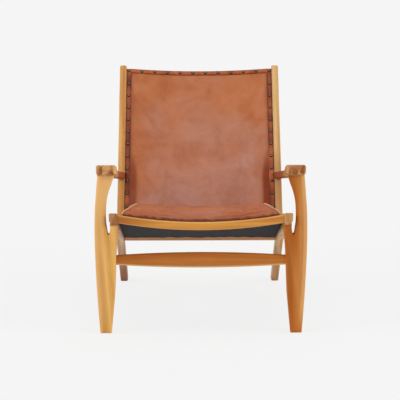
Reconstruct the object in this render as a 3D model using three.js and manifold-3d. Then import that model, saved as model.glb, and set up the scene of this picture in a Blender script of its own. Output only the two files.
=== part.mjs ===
// Leather sling lounge chair, free standing, lengths in millimetres and angles in radians.
// X runs across the chair, Y from its front to its back and Z up. While the pieces are made,
// Y is zero at the front of the front feet; the last lines centre the chair over its origin.
import * as THREE from "three";
import { mergeVertices } from "three/addons/utils/BufferGeometryUtils.js";
import Module from "manifold-3d";

const wasm = await Module();
wasm.setup();

const degrees = THREE.MathUtils.degToRad;

// Gap between touching pieces, and how far a block runs past the face that it cuts or joins
const fitGap = 0.3;
const overrun = 20;

// Side rails, each one member with the rear leg below its bend
const sideInnerX = 266;
const sideThickness = 27;
const railFrontY = 8;
const railUndersideZ = 355;
const railDepth = 37;
const railSlope = degrees(18.5);
const bendY = 440;
const bendEase = 55;
const rearFootY = 683;
const rearFootLength = 50;
const sideRound = 5;
const cornerCutWidth = 9;
const cornerCutHeight = 14;
const cornerCutLength = 60;

// Front legs, forked at the top
const frontLegDepth = 36;
const frontLegLean = degrees(3.2);
const frontLegRound = 7;
const footOffset = 22;
const footWidth = 36;
const outerSwell = 15.6;
const prongLip = 4.3;
const forkDepth = 35;
const forkNotch = 5;
const prongClearance = 11;
const prongFlare = 29;

// Armrests
const armFrontY = -5;
const armTopZ = 534;
const armThickness = 24.4;
const armSlope = degrees(10.35);
const armSweepTop = 16;
const armSweepUnder = 11;
const armSweepLength = 92;
const armFrontWidth = 65;
const armRearWidth = 27;
const paddleLength = 95;
const paddleTaper = 190;
const armCorner = 13;
const armRound = 5;

// Back frame, measured along and across the reclined uprights
const backFootY = 449;
const recline = degrees(33.5);
const uprightLength = 652;
const uprightWidth = 25;
const uprightInset = 1;
const uprightDepthFoot = 37;
const uprightDepthTop = 30;
const uprightRound = 4;
const uprightTenonDepth = 20;
const uprightTenonWidth = 10;
const uprightTenonLength = 24;
const uprightTenonEdge = 5.5;
const ledgeWidth = 19;
const ledgeRecess = 8;
const ledgeDepth = 16;
const backRailDepth = 20;
const backRailRound = 3;
const topRailDrop = 14;
const topRailHeight = 44;
const topRailBow = 20;
const lowerRailUp = 26;
const lowerRailHeight = 42;
const lowerRailBow = 38;
const backTenonHeight = 24;
const backTenonDepth = 9;
const backTenonLength = 15;

// Cross members of the seat and the legs
const frontRailSetback = 4;
const frontRailHeight = 27;
const frontRailDepth = 28;
const frontRailBow = 24;
const frontRailDrop = 6;
const frontRailRound = 5;
const frontTenonHeight = 14;
const frontTenonDepth = 14;
const frontTenonLength = 18;
const rearRailY = 445;
const rearRailBottomZ = 206;
const rearRailHeight = 28;
const rearRailDepth = 26;
const rearRailRound = 3;
const rearTenonHeight = 14;
const rearTenonDepth = 14;
const rearTenonLength = 9;
const stretcherZ = 236;
const stretcherEndHeight = 30;
const stretcherSwell = 18.6;
const stretcherDepth = 25;
const stretcherRound = 7;
const stretcherTenonHeight = 16;
const stretcherTenonDepth = 12;
const stretcherTenonLength = 20;

// Dowels
const armDowelDiameter = 10;
const armDowelLength = 40;
const armDowelSpacing = 24;
const armDowelShift = 4;
const forkDowelDiameter = 8;
const forkDowelLength = 36;
const forkDowelReach = 12;
const forkDowelSpacing = 17;

// Leather, strips and nails of the back
const slingThickness = 3.2;
const slingSlack = 6;
const slingMargin = 6;
const stripWidth = 18;
const stripThickness = 2.2;
const stripCrown = 0.9;
const nailDiameter = 11.4;
const nailRise = 3.2;
const nailPitch = 48.6;
const nailCornerGap = 54;
const nailSeat = 0.8;

// Seat pad, webbing and lining
const padFrontY = 20;
const padSideRearY = 467;
const padRearBow = 36;
const padSideGap = 17;
const padTaper = 9;
const padThickness = 60;
const padWaist = 9;
const padRound = 30;
const padSkirtGap = 4;
const coverThickness = 2.4;
const strapWidth = 60;
const strapThickness = 2.2;
const strapPitch = 116;
const strapCount = 4;
const strapInset = 8;
const liningThickness = 1.2;
const liningSideGap = 4;
const liningRise = 3;
const liningRearRise = 12;
const liningRipple = 2;
const liningRippleCount = 7;

// Meshing: how finely round stretches are stepped
const curveSteps = 3;
const roundSteps = 2;
const dowelSides = 12;
const nailSides = 8;
const railSteps = 16;

const materials = {
  wood: new THREE.MeshStandardMaterial({ color: 0xbf8245, roughness: 0.45, metalness: 0 }),
  dowelWood: new THREE.MeshStandardMaterial({ color: 0xd2b48c, roughness: 0.7, metalness: 0 }),
  leather: new THREE.MeshStandardMaterial({ color: 0xb0714f, roughness: 0.5, metalness: 0 }),
  strip: new THREE.MeshStandardMaterial({ color: 0x8a4f36, roughness: 0.55, metalness: 0 }),
  foam: new THREE.MeshStandardMaterial({ color: 0xe8dcae, roughness: 0.95, metalness: 0 }),
  webbing: new THREE.MeshStandardMaterial({ color: 0x6b5a45, roughness: 0.9, metalness: 0 }),
  lining: new THREE.MeshStandardMaterial({ color: 0x2b2928, roughness: 0.9, metalness: 0 }),
};

const chair = new THREE.Group();

// Places worked out from the sizes above
const sideOuterX = sideInnerX + sideThickness;
const railUnderside = (y) => railUndersideZ - Math.tan(railSlope) * (y - railFrontY);
const railTop = (y) => railUnderside(y) + railDepth / Math.cos(railSlope);
const backFootZ = railTop(backFootY);
const uprightInnerX = sideInnerX + uprightInset;
const ledgeInnerX = uprightInnerX - ledgeWidth;
const padHalfWidth = sideInnerX - padSideGap;
const liningHalfWidth = sideInnerX - liningSideGap;
const legFront = (z) => Math.tan(frontLegLean) * z;
const frontRailY = railFrontY + frontRailSetback;
const frontRailRearY = frontRailY + frontRailDepth;
const frontRailTop = (x) =>
  railTop(frontRailY) - frontRailDrop - frontRailBow * (1 - (x / sideInnerX) ** 2);
const lowerRailTop = lowerRailUp + lowerRailHeight;
const topRailBottom = uprightLength - topRailDrop - topRailHeight;

// Slanted pieces are made upright at the origin of one of these frames, then turned about X
function slantedFrame(y, z, angle) {
  return new THREE.Matrix4().makeRotationX(-angle).setPosition(0, y, z);
}
const level = new THREE.Matrix4();
const backFrame = slantedFrame(backFootY, backFootZ, recline);
const armFrame = slantedFrame(armFrontY, armTopZ, armSlope);
const railFrame = slantedFrame(railFrontY, railUndersideZ, railSlope);

function meshGeometry(positions, faces) {
  const geometry = new THREE.BufferGeometry();
  geometry.setAttribute("position", new THREE.Float32BufferAttribute(positions, 3));
  geometry.setIndex(faces);
  geometry.computeVertexNormals();
  return geometry;
}

// Closed meshes become solids to be cut or joined, and the result becomes a mesh again
function solidOf(geometry) {
  const bare = geometry.clone();
  bare.deleteAttribute("normal");
  bare.deleteAttribute("uv");
  const merged = mergeVertices(bare);
  const corners = Array.from(merged.index.array);
  const flat = corners.filter((_, i) => {
    const [a, b, c] = corners.slice(i - i % 3, i - i % 3 + 3);
    return a !== b && b !== c && c !== a;
  });
  const vertProperties = new Float32Array(merged.attributes.position.array);
  const triVerts = new Uint32Array(flat);
  return new wasm.Manifold(new wasm.Mesh({ numProp: 3, vertProperties, triVerts }));
}

function geometryOf(solid) {
  const mesh = solid.getMesh();
  return meshGeometry(Array.from(mesh.vertProperties), Array.from(mesh.triVerts));
}

function cutAway(geometry, cutters) {
  return geometryOf(cutters.reduce((rest, cutter) => rest.subtract(solidOf(cutter)), solidOf(geometry)));
}

function joined(geometry, additions) {
  return geometryOf(additions.reduce((sum, addition) => sum.add(solidOf(addition)), solidOf(geometry)));
}

function inFrame(geometry, frame) {
  return geometry.clone().applyMatrix4(frame);
}

// The same solid on the other side of the chair: X changes sign and the faces turn round
function mirrored(geometry) {
  const bare = geometry.index ? geometry : mergeVertices(geometry);
  const positions = Array.from(bare.attributes.position.array);
  for (let i = 0; i < positions.length; i += 3) positions[i] = -positions[i];
  return meshGeometry(positions, Array.from(bare.index.array).reverse());
}

function bothSides(geometry) {
  return [geometry, mirrored(geometry)];
}

function block(size, centre, frame = level) {
  return new THREE.BoxGeometry(...size).translate(...centre).applyMatrix4(frame);
}

// A flat outline with a thickness and rounded edges, its points put in place by a function
function plank(shape, thickness, round, place) {
  const geometry = new THREE.ExtrudeGeometry(shape, {
    depth: thickness - 2 * round,
    curveSegments: curveSteps,
    bevelThickness: round,
    bevelSize: round,
    bevelOffset: -round,
    bevelSegments: roundSteps,
  });
  geometry.translate(0, 0, round);
  const points = geometry.attributes.position;
  for (let i = 0; i < points.count; i += 1) {
    points.setXYZ(i, ...place(points.getX(i), points.getY(i), points.getZ(i)));
  }
  return geometry;
}

// A rectangle with rounded corners about its own centre, as [across, up] pairs
function roundedSection(width, height, fullRound) {
  const round = Math.min(fullRound, width / 2, height / 2);
  const corners = [[1, 1], [-1, 1], [-1, -1], [1, -1]];
  return corners.flatMap(([a, b], corner) =>
    Array.from({ length: roundSteps + 1 }, (_, step) => {
      const angle = (corner + step / roundSteps) * Math.PI / 2;
      const across = a * (width / 2 - round) + round * Math.cos(angle);
      return [across, b * (height / 2 - round) + round * Math.sin(angle)];
    }));
}

// A closed body through rings of points with the same count, flat at both ends
function loft(rings) {
  const size = rings[0].length;
  const last = (rings.length - 1) * size;
  const faces = [];
  for (let ring = 0; ring + 1 < rings.length; ring += 1) {
    for (let k = 0; k < size; k += 1) {
      const a = ring * size + k;
      const b = ring * size + (k + 1) % size;
      faces.push(a, b, b + size, a, b + size, a + size);
    }
  }
  for (let k = 1; k + 1 < size; k += 1) {
    faces.push(0, k + 1, k, last, last + k, last + k + 1);
  }
  return meshGeometry(rings.flat(2), faces);
}

// A closed body between two grids of points with the same layout, such as a sheet's two faces
function slab(upper, lower) {
  const columns = upper[0].length;
  const rows = upper.length;
  const under = rows * columns;
  const faces = [];
  const quad = (a, b, c, d) => faces.push(a, b, c, a, c, d);
  for (let row = 0; row + 1 < rows; row += 1) {
    for (let column = 0; column + 1 < columns; column += 1) {
      const a = row * columns + column;
      quad(a, a + 1, a + columns + 1, a + columns);
      quad(a + under, a + columns + under, a + columns + 1 + under, a + 1 + under);
    }
  }
  const rim = [];
  for (let column = 0; column + 1 < columns; column += 1) rim.push(column);
  for (let row = 0; row + 1 < rows; row += 1) rim.push((row + 1) * columns - 1);
  for (let column = columns - 1; column > 0; column -= 1) rim.push((rows - 1) * columns + column);
  for (let row = rows - 1; row > 0; row -= 1) rim.push(row * columns);
  rim.forEach((a, i) => {
    const b = rim[(i + 1) % rim.length];
    quad(a, a + under, b + under, b);
  });
  return meshGeometry([...upper.flat(2), ...lower.flat(2)], faces);
}

// Evenly spaced values from one end to the other
function spread(from, to, steps) {
  return Array.from({ length: steps + 1 }, (_, i) => from + (to - from) * i / steps);
}

// Reads a table of [place share, value share] pairs, joined by straight lines
function shareAt(shares, place) {
  const found = shares.findIndex(([at]) => at >= place);
  const next = found < 0 ? shares.length - 1 : Math.max(1, found);
  const [[a, from], [b, to]] = shares.slice(next - 1, next + 1);
  return from + (to - from) * (place - a) / (b - a);
}

function addPiece(name, geometry, material) {
  const piece = new THREE.Mesh(geometry, material);
  piece.name = name;
  chair.add(piece);
}

function addPair(name, geometry, material) {
  addPiece(`right_${name}`, geometry, material);
  addPiece(`left_${name}`, mirrored(geometry), material);
}

// Right-hand tenons run from inside their rail into the neighbour; grown, they cut the mortise
function sideTenon(faceX, length, depth, height, y, z, frame, grow) {
  const size = [length + overrun + 2 * grow, depth + 2 * grow, height + 2 * grow];
  return block(size, [faceX + (length - overrun) / 2, y, z], frame);
}

function frontRailTenon(grow = 0) {
  const y = frontRailY + frontRailDepth / 2;
  const z = frontRailTop(sideInnerX) - frontRailHeight / 2;
  return sideTenon(sideInnerX, frontTenonLength, frontTenonDepth, frontTenonHeight, y, z, level, grow);
}

function rearRailTenon(grow = 0) {
  const y = rearRailY + rearRailDepth / 2;
  const z = rearRailBottomZ + rearRailHeight / 2;
  return sideTenon(sideInnerX, rearTenonLength, rearTenonDepth, rearTenonHeight, y, z, level, grow);
}

function backRailTenon(up, grow = 0) {
  const y = ledgeRecess + backRailDepth / 2;
  return sideTenon(uprightInnerX, backTenonLength, backTenonDepth, backTenonHeight, y, up, backFrame, grow);
}

function stretcherTenon(grow = 0) {
  const y = legFront(stretcherZ) + frontLegDepth / 2;
  const size = [stretcherTenonDepth, stretcherTenonHeight];
  return sideTenon(legInnerX(stretcherZ), stretcherTenonLength, ...size, y, stretcherZ, level, grow);
}

function uprightTenon(grow = 0) {
  const length = uprightTenonLength + overrun;
  const x = sideOuterX - uprightTenonEdge - uprightTenonWidth / 2;
  const size = [uprightTenonWidth + 2 * grow, uprightTenonDepth + 2 * grow, length + 2 * grow];
  return block(size, [x, uprightDepthFoot / 2, (overrun - uprightTenonLength) / 2], backFrame);
}

// Dowels lie in a frame along its Z or Y axis; grown, they drill the holes
function dowel(diameter, length, centre, frame, alongY, grow) {
  const radius = diameter / 2 + grow;
  const pin = new THREE.CylinderGeometry(radius, radius, length + 2 * grow, dowelSides);
  if (!alongY) pin.rotateX(Math.PI / 2);
  return pin.translate(...centre).applyMatrix4(frame);
}

function armLegDowels(grow = 0) {
  const centreX = (legTopInnerX + legOuterX(legTopZ)) / 2;
  const along = (legFront(legTopZ) + frontLegDepth / 2 - armFrontY) / Math.cos(armSlope);
  return [-1, 1].map((side) => {
    const centre = [centreX + side * armDowelSpacing / 2, along, -armThickness - armDowelShift];
    return dowel(armDowelDiameter, armDowelLength, centre, armFrame, false, grow);
  });
}

function armBackDowel(grow = 0) {
  const x = uprightInnerX + uprightWidth / 2;
  return dowel(armDowelDiameter, armDowelLength, [x, 0, armBackUp], backFrame, true, grow);
}

function forkDowels(grow = 0) {
  const x = (sideInnerX + sideOuterX - cornerCutWidth) / 2;
  const along = (legFront(prongTopZ) + frontLegDepth / 2 - railFrontY) / Math.cos(railSlope);
  return [-1, 1].map((side) => {
    const centre = [x, along + side * forkDowelSpacing / 2, forkDowelReach - forkDowelLength / 2];
    return dowel(forkDowelDiameter, forkDowelLength, centre, railFrame, false, grow);
  });
}

// Side rail and rear leg: one outline in the Y-Z plane, its seat cut square to the upright
function sideRailShape() {
  const seatEndY = backFootY + uprightDepthFoot * Math.cos(recline);
  const seatEndZ = backFootZ - uprightDepthFoot * Math.sin(recline);
  const bendZ = railUnderside(bendY);
  const legShare = bendEase / Math.hypot(rearFootY - bendY, bendZ);
  const bendEnd = [bendY + (rearFootY - bendY) * legShare, bendZ * (1 - legShare)];
  const shape = new THREE.Shape();
  shape.moveTo(railFrontY, railUndersideZ);
  shape.lineTo(bendY - bendEase, railUnderside(bendY - bendEase));
  shape.quadraticCurveTo(bendY, bendZ, ...bendEnd);
  shape.lineTo(rearFootY, 0);
  shape.lineTo(rearFootY + rearFootLength, 0);
  shape.lineTo(seatEndY, seatEndZ);
  shape.lineTo(backFootY, backFootZ);
  shape.lineTo(railFrontY, railTop(railFrontY));
  shape.closePath();
  return shape;
}

function cornerCut() {
  const wedge = new THREE.Shape();
  wedge.moveTo(sideOuterX - cornerCutWidth, 0);
  wedge.lineTo(sideOuterX, -overrun);
  wedge.lineTo(sideOuterX + overrun, 0);
  wedge.lineTo(sideOuterX, cornerCutHeight);
  const depth = cornerCutLength + overrun;
  const cutter = new THREE.ExtrudeGeometry(wedge, { depth, bevelEnabled: false });
  return cutter.rotateX(Math.PI / 2).translate(0, cornerCutLength, 0).applyMatrix4(railFrame);
}

function sideRail() {
  const place = (y, z, across) => [sideInnerX + across, y, z];
  const member = plank(sideRailShape(), sideThickness, sideRound, place);
  const mortises = [frontRailTenon(fitGap), rearRailTenon(fitGap), uprightTenon(fitGap)];
  return cutAway(member, [cornerCut(), ...mortises, ...forkDowels(fitGap)]);
}

// Front leg. Heights are shares of the leg or of the inner prong, and widths are shares
// of the swell outside, of the prong's flare or of the lean inward inside.
const outerEdgeShares = [[0, 0], [0.19, 0.47], [0.4, 0.82], [0.59, 1], [0.75, 0.94], [0.88, 0.66],
  [1, 0.34]];
const prongEdgeShares = [[1, 1], [0.85, 0.67], [0.72, 0.36], [0.55, 0.1], [0.35, 0.01], [0.2, 0.03],
  [0.1, 0.12]];
const innerEdgeShares = [[1, 1], [0.89, 0.85], [0.74, 0.68], [0.52, 0.56], [0.36, 0.46], [0.21, 0.27],
  [0, 0]];

const prongTopZ = railUndersideZ;
const crotchZ = prongTopZ - forkDepth;
const legTopZ = armUndersideZ(legFront(armTopZ));
const footInnerX = sideInnerX + footOffset;
const footOuterX = footInnerX + footWidth;
const prongX = sideOuterX + prongClearance;
const prongOuterX = sideOuterX - cornerCutWidth;
const innerLean = footOffset + prongLip;
const legTopInnerX = prongX - prongFlare;
const legOuterX = (z) => footOuterX + outerSwell * shareAt(outerEdgeShares, z / legTopZ);
const innerUpward = [...innerEdgeShares].reverse();
const legInnerX = (z) => footInnerX - innerLean * shareAt(innerUpward, z / prongTopZ);

function armUndersideZ(y) {
  const along = (y - armFrontY) / Math.cos(armSlope);
  const [, , z] = armPlace(0, along, 0);
  return armTopZ - Math.tan(armSlope) * (y - armFrontY) + z / Math.cos(armSlope);
}

function frontLegShape() {
  const outer = outerEdgeShares.map(([up, out]) =>
    new THREE.Vector2(footOuterX + outerSwell * out, legTopZ * up));
  const prong = prongEdgeShares.map(([up, out]) =>
    new THREE.Vector2(prongX - prongFlare * out, crotchZ + (legTopZ - crotchZ) * up));
  const inner = innerEdgeShares.map(([up, out]) =>
    new THREE.Vector2(footInnerX - innerLean * out, prongTopZ * up));
  const shape = new THREE.Shape();
  shape.moveTo(outer[0].x, 0);
  shape.splineThru(outer.slice(1));
  shape.lineTo(outer.at(-1).x, legTopZ + overrun);
  shape.lineTo(prong[0].x, legTopZ + overrun);
  shape.lineTo(prong[0].x, legTopZ);
  shape.splineThru(prong.slice(1));
  shape.quadraticCurveTo(prongX - forkNotch, crotchZ, sideOuterX + forkNotch / 2, crotchZ);
  const notchEnd = [prongOuterX + forkNotch, prongTopZ - forkNotch];
  shape.quadraticCurveTo(sideOuterX - forkNotch / 2, crotchZ, ...notchEnd);
  shape.lineTo(prongOuterX + forkNotch / 2, prongTopZ + overrun);
  shape.lineTo(inner[0].x, prongTopZ + overrun);
  shape.lineTo(inner[0].x, prongTopZ);
  shape.splineThru(inner.slice(1));
  shape.closePath();
  return shape;
}

function frontLegBlank() {
  const place = (x, z, back) => [x, legFront(z) + frontLegDepth - back, z];
  return plank(frontLegShape(), frontLegDepth, frontLegRound, place);
}

function aboveArmUnderside() {
  const sides = [sideInnerX - overrun, sideInnerX + armFrontWidth + overrun];
  const alongs = spread(-overrun, armSweepLength, railSteps);
  const face = (up) => alongs.map((along) => sides.map((x) => armPlace(x, along, up)));
  return inFrame(slab(face(armFrontWidth), face(-fitGap)), armFrame);
}

function aboveRailUnderside() {
  const width = sideThickness + prongLip + overrun;
  const length = frontLegDepth + 2 * overrun;
  const centre = [sideOuterX + fitGap - width / 2, frontLegDepth, railDepth / 2 - fitGap];
  return block([width, length, railDepth], centre, railFrame);
}

function frontLeg() {
  const holes = [stretcherTenon(fitGap), ...armLegDowels(fitGap), ...forkDowels(fitGap)];
  return cutAway(frontLegBlank(), [aboveArmUnderside(), aboveRailUnderside(), ...holes]);
}

// Armrest: a paddle in front that narrows to the width of the upright behind. Its front sweeps
// up and thickens, and its own frame has Y along it and Z zero on the straight stretch's top.
const armBackY = (backFootY + (armTopZ - backFootZ + armFrontY * Math.tan(armSlope)) * Math.tan(recline))
  / (1 + Math.tan(armSlope) * Math.tan(recline));
const armBackUp = (armTopZ - Math.tan(armSlope) * (armBackY - armFrontY) - backFootZ) / Math.cos(recline)
  - armThickness / 2;

function armPlace(x, along, up) {
  const sweep = 1 - THREE.MathUtils.smoothstep(along, 0, armSweepLength);
  const share = up / armThickness;
  return [x, along, up - armThickness + sweep * (armSweepUnder + (armSweepTop - armSweepUnder) * share)];
}

function armrest() {
  const length = (armBackY - armFrontY) / Math.cos(armSlope) + overrun;
  const taperEnd = paddleLength + paddleTaper;
  const inset = (along, round) => round - Math.sqrt(round ** 2 - Math.max(0, round - along) ** 2);
  const nose = spread(0, Math.PI / 2, roundSteps * 2).map((turn) => armCorner * (1 - Math.cos(turn)));
  const stations = [...nose, ...spread(armCorner, taperEnd, railSteps).slice(1), length];
  const rings = stations.map((along) => {
    const narrowing = THREE.MathUtils.smoothstep(along, paddleLength, taperEnd);
    const width = armFrontWidth + (armRearWidth - armFrontWidth) * narrowing;
    const noseWidth = width - 2 * inset(along, armCorner);
    const section = roundedSection(noseWidth, armThickness - 2 * inset(along, armRound), armRound);
    return section.map(([a, b]) => armPlace(sideInnerX + width / 2 - a, along, armThickness / 2 + b));
  });
  const size = [armFrontWidth * 2, overrun * 4, uprightLength * 2];
  const behind = block(size, [sideInnerX + armRearWidth / 2, overrun * 2 - fitGap, 0], backFrame);
  const holes = [...armLegDowels(fitGap), armBackDowel(fitGap)];
  return cutAway(inFrame(loft(rings), armFrame), [behind, ...holes]);
}

// Upright: a tapered post with a rebated ledge on its inner side and a tenon below
function upright() {
  const x = uprightInnerX + uprightWidth / 2;
  const easing = uprightRound / 4;
  const end = [[uprightLength - easing, easing], [uprightLength, uprightRound]];
  const rings = [[fitGap, 0], [uprightLength - uprightRound, 0], ...end].map(([up, shrink]) => {
    const depth = uprightDepthFoot + (uprightDepthTop - uprightDepthFoot) * up / uprightLength;
    const section = roundedSection(uprightWidth - 2 * shrink, depth - 2 * shrink, uprightRound);
    return section.map(([a, b]) => [x + a, depth / 2 + b, up]);
  });
  const height = topRailBottom - lowerRailTop - 2 * fitGap;
  const middle = (topRailBottom + lowerRailTop) / 2;
  const width = ledgeWidth + uprightWidth / 2;
  const centre = [ledgeInnerX + width / 2, ledgeRecess + ledgeDepth / 2, middle];
  const ledge = block([width, ledgeDepth, height], centre);
  const post = inFrame(joined(loft(rings), [ledge]), backFrame);
  const mortises = [topRailTenon(fitGap), lowerRailTenon(fitGap), armBackDowel(fitGap)];
  return cutAway(joined(post, [uprightTenon()]), mortises);
}

function topRailTenon(grow = 0) {
  return backRailTenon(topRailBottom + topRailHeight / 2, grow);
}

function lowerRailTenon(grow = 0) {
  return backRailTenon(lowerRailUp + lowerRailHeight / 2, grow);
}

// Cross rails are lofted from side to side, each ring placed by its distance from the middle
function crossRail(halfLength, section, place) {
  return loft(spread(-halfLength, halfLength, railSteps).map((x) =>
    section(x).map(([a, b]) => place(x, a, b))));
}

const dish = (x) => Math.max(0, 1 - (x / ledgeInnerX) ** 2);

function backRail(bottom, height, bow, tenonOf) {
  const half = uprightInnerX - fitGap;
  const section = () => roundedSection(backRailDepth, height, backRailRound);
  const rail = crossRail(half, section, (x, a, b) =>
    [x, ledgeRecess + bow * dish(x) + backRailDepth / 2 + a, bottom + height / 2 + b]);
  return joined(inFrame(rail, backFrame), bothSides(tenonOf()));
}

function seatFrontRail() {
  const section = () => roundedSection(frontRailDepth, frontRailHeight, frontRailRound);
  const rail = crossRail(sideInnerX - fitGap, section, (x, a, b) =>
    [x, frontRailY + frontRailDepth / 2 + a, frontRailTop(x) - frontRailHeight / 2 + b]);
  return joined(rail, bothSides(frontRailTenon()));
}

function seatRearRail() {
  const section = () => roundedSection(rearRailDepth, rearRailHeight, rearRailRound);
  const rail = loft([fitGap - sideInnerX, sideInnerX - fitGap].map((x) => section().map(([a, b]) =>
    [x, rearRailY + rearRailDepth / 2 + a, rearRailBottomZ + rearRailHeight / 2 + b])));
  return joined(rail, bothSides(rearRailTenon()));
}

// Stretcher: swelled in the middle, its ends scribed to the legs
function frontStretcher() {
  const half = legInnerX(stretcherZ) + frontLegRound;
  const middleY = legFront(stretcherZ) + frontLegDepth / 2;
  const section = (x) => {
    const height = stretcherEndHeight + stretcherSwell * (1 - (x / half) ** 2);
    return roundedSection(stretcherDepth, height, stretcherRound);
  };
  const bar = crossRail(half, section, (x, a, b) => [x, middleY + a, stretcherZ + b]);
  const leg = frontLegBlank().translate(-fitGap, 0, 0);
  return joined(cutAway(bar, bothSides(leg)), bothSides(stretcherTenon()));
}

// Back leather: flat over the ledges, dished between them, lying on both bowed rails
const slingBackY = ledgeRecess - fitGap;
const slingFrontY = slingBackY - slingThickness;
const stripBackY = slingFrontY - fitGap;
const stripFrontY = stripBackY - stripThickness;
const slingTop = topRailBottom + topRailHeight;

function slingBow(up) {
  const share = THREE.MathUtils.clamp((up - lowerRailTop) / (topRailBottom - lowerRailTop), 0, 1);
  return lowerRailBow + (topRailBow - lowerRailBow) * share + slingSlack * Math.sin(Math.PI * share);
}

function backSling() {
  const edge = uprightInnerX - fitGap;
  const across = [-edge, ...spread(-ledgeInnerX, ledgeInnerX, railSteps), edge];
  const ups = [lowerRailUp + slingMargin, ...spread(lowerRailTop, topRailBottom, railSteps / 2), slingTop];
  const face = (y) => ups.map((up) => across.map((x) => [x, y + slingBow(up) * dish(x), up]));
  return inFrame(slab(face(slingFrontY), face(slingBackY)), backFrame);
}

// Strips: thin folded leather, crowned along the middle, mitred at the top corners
const stripInnerX = uprightInnerX - fitGap - stripWidth;
const stripOuterX = uprightInnerX - fitGap;
const stripLow = lowerRailTop;
const stripInnerTop = slingTop - stripWidth;

function stripSection(outer, inner) {
  const middle = outer.clone().lerp(inner, 0.5).add(new THREE.Vector3(0, -stripCrown, 0));
  const back = new THREE.Vector3(0, stripThickness, 0);
  const corners = [outer.clone().add(back), outer, middle, inner, inner.clone().add(back)];
  return corners.map((point) => point.toArray());
}

function nailHead(x, y, up) {
  const profile = spread(0, Math.PI / 2, roundSteps).map((angle) => {
    return new THREE.Vector2(nailDiameter / 2 * Math.sin(angle), nailRise * Math.cos(angle));
  });
  const base = [[nailDiameter / 2, -nailSeat], [0, -nailSeat]].map(([r, h]) => new THREE.Vector2(r, h));
  const dome = new THREE.LatheGeometry([...base.reverse(), ...profile.reverse()], nailSides);
  return dome.rotateX(Math.PI).translate(x, y - stripCrown, up);
}

function sideStrip() {
  const gap = fitGap / 2;
  const place = (x, up) => new THREE.Vector3(x, stripFrontY, up);
  const topRing = stripSection(place(stripOuterX, slingTop - gap), place(stripInnerX, stripInnerTop - gap));
  const lowRing = stripSection(place(stripOuterX, stripLow), place(stripInnerX, stripLow));
  const x = (stripInnerX + stripOuterX) / 2;
  const first = slingTop - stripWidth / 2 - nailCornerGap;
  const count = Math.ceil((first - stripLow - nailDiameter) / nailPitch);
  const ups = Array.from({ length: count }, (_, i) => first - i * nailPitch);
  const heads = ups.map((up) => nailHead(x, stripFrontY, up));
  return inFrame(joined(loft([topRing, lowRing]), heads), backFrame);
}

function topStrip() {
  const gap = fitGap / 2;
  const place = (x, up) => new THREE.Vector3(x, stripFrontY + topRailBow * dish(x), up);
  const corner = (side) => {
    const outer = place(side * (stripOuterX - gap), slingTop);
    return stripSection(outer, place(side * (stripInnerX - gap), stripInnerTop));
  };
  const between = spread(-ledgeInnerX, ledgeInnerX, railSteps).map((x) =>
    stripSection(place(x, slingTop), place(x, stripInnerTop)));
  const strip = loft([corner(-1), ...between, corner(1)]);
  const half = (stripInnerX + stripOuterX) / 2;
  const up = slingTop - stripWidth / 2;
  const count = Math.round(2 * half / nailPitch);
  const cornerInset = nailDiameter / 2 + stripWidth / 4;
  const heads = spread(cornerInset - half, half - cornerInset, count).map((x) =>
    nailHead(x, stripFrontY + topRailBow * dish(x), up));
  return inFrame(joined(strip, heads), backFrame);
}

// Seat: webbing over both rails, foam on the webbing, a leather cover over the foam
const rearRailTopZ = rearRailBottomZ + rearRailHeight;

function deckZ(x, y) {
  const share = THREE.MathUtils.clamp((y - frontRailRearY) / (rearRailY - frontRailRearY), 0, 1);
  return frontRailTop(x) + (rearRailTopZ - frontRailTop(x)) * share + fitGap;
}

function strap(centreX) {
  const between = spread(frontRailRearY, rearRailY, railSteps);
  const places = [frontRailY + strapInset, ...between, rearRailY + rearRailDepth - strapInset];
  const sides = [centreX - strapWidth / 2, centreX, centreX + strapWidth / 2];
  const face = (rise) => places.map((y) => sides.map((x) => [x, y, deckZ(x, y) + rise]));
  return slab(face(strapThickness), face(0));
}

// The pad's height along its middle and along its side seams, from front to back,
// as [share of its depth, share of its thickness]
const crownShares = [[0, 0.05], [0.025, 0.22], [0.068, 0.42], [0.15, 0.7], [0.235, 0.86], [0.43, 0.97],
  [0.66, 1], [0.87, 0.97], [1, 0.9]];
const seamShares = [[0, 0.16], [0.09, 0.24], [0.25, 0.53], [0.45, 0.82], [0.66, 0.88], [1, 0.8]];
// The round from the crown out to the seam, as [share of its width, share of the drop]
const roundShares = [[1, 0], [0.55, 0.12], [0.18, 0.5], [0, 1]];
const padRowShares = [0, 0.025, 0.068, 0.11, 0.15, 0.235, 0.33, 0.43, 0.54, 0.66, 0.77, 0.87, 0.96, 1];

const padRearY = (x) => padSideRearY + padRearBow * (1 - (x / padHalfWidth) ** 2);
const padBottomZ = (x, y) => deckZ(x, y) + strapThickness + fitGap;

// Columns of the pad from side to side, as [X in front, share of the drop]; the outermost
// column on each side is the skirt, drawn in under the seam
function padColumns() {
  const crown = spread(0, padHalfWidth - padRound, curveSteps).map((x) => [x, 0]);
  const round = roundShares.slice(1).map(([out, drop]) => [padHalfWidth - padRound * out, drop]);
  const half = [...crown, ...round, [padHalfWidth, null]];
  return [...half.slice(1).reverse().map(([x, drop]) => [-x, drop]), ...half];
}

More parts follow.
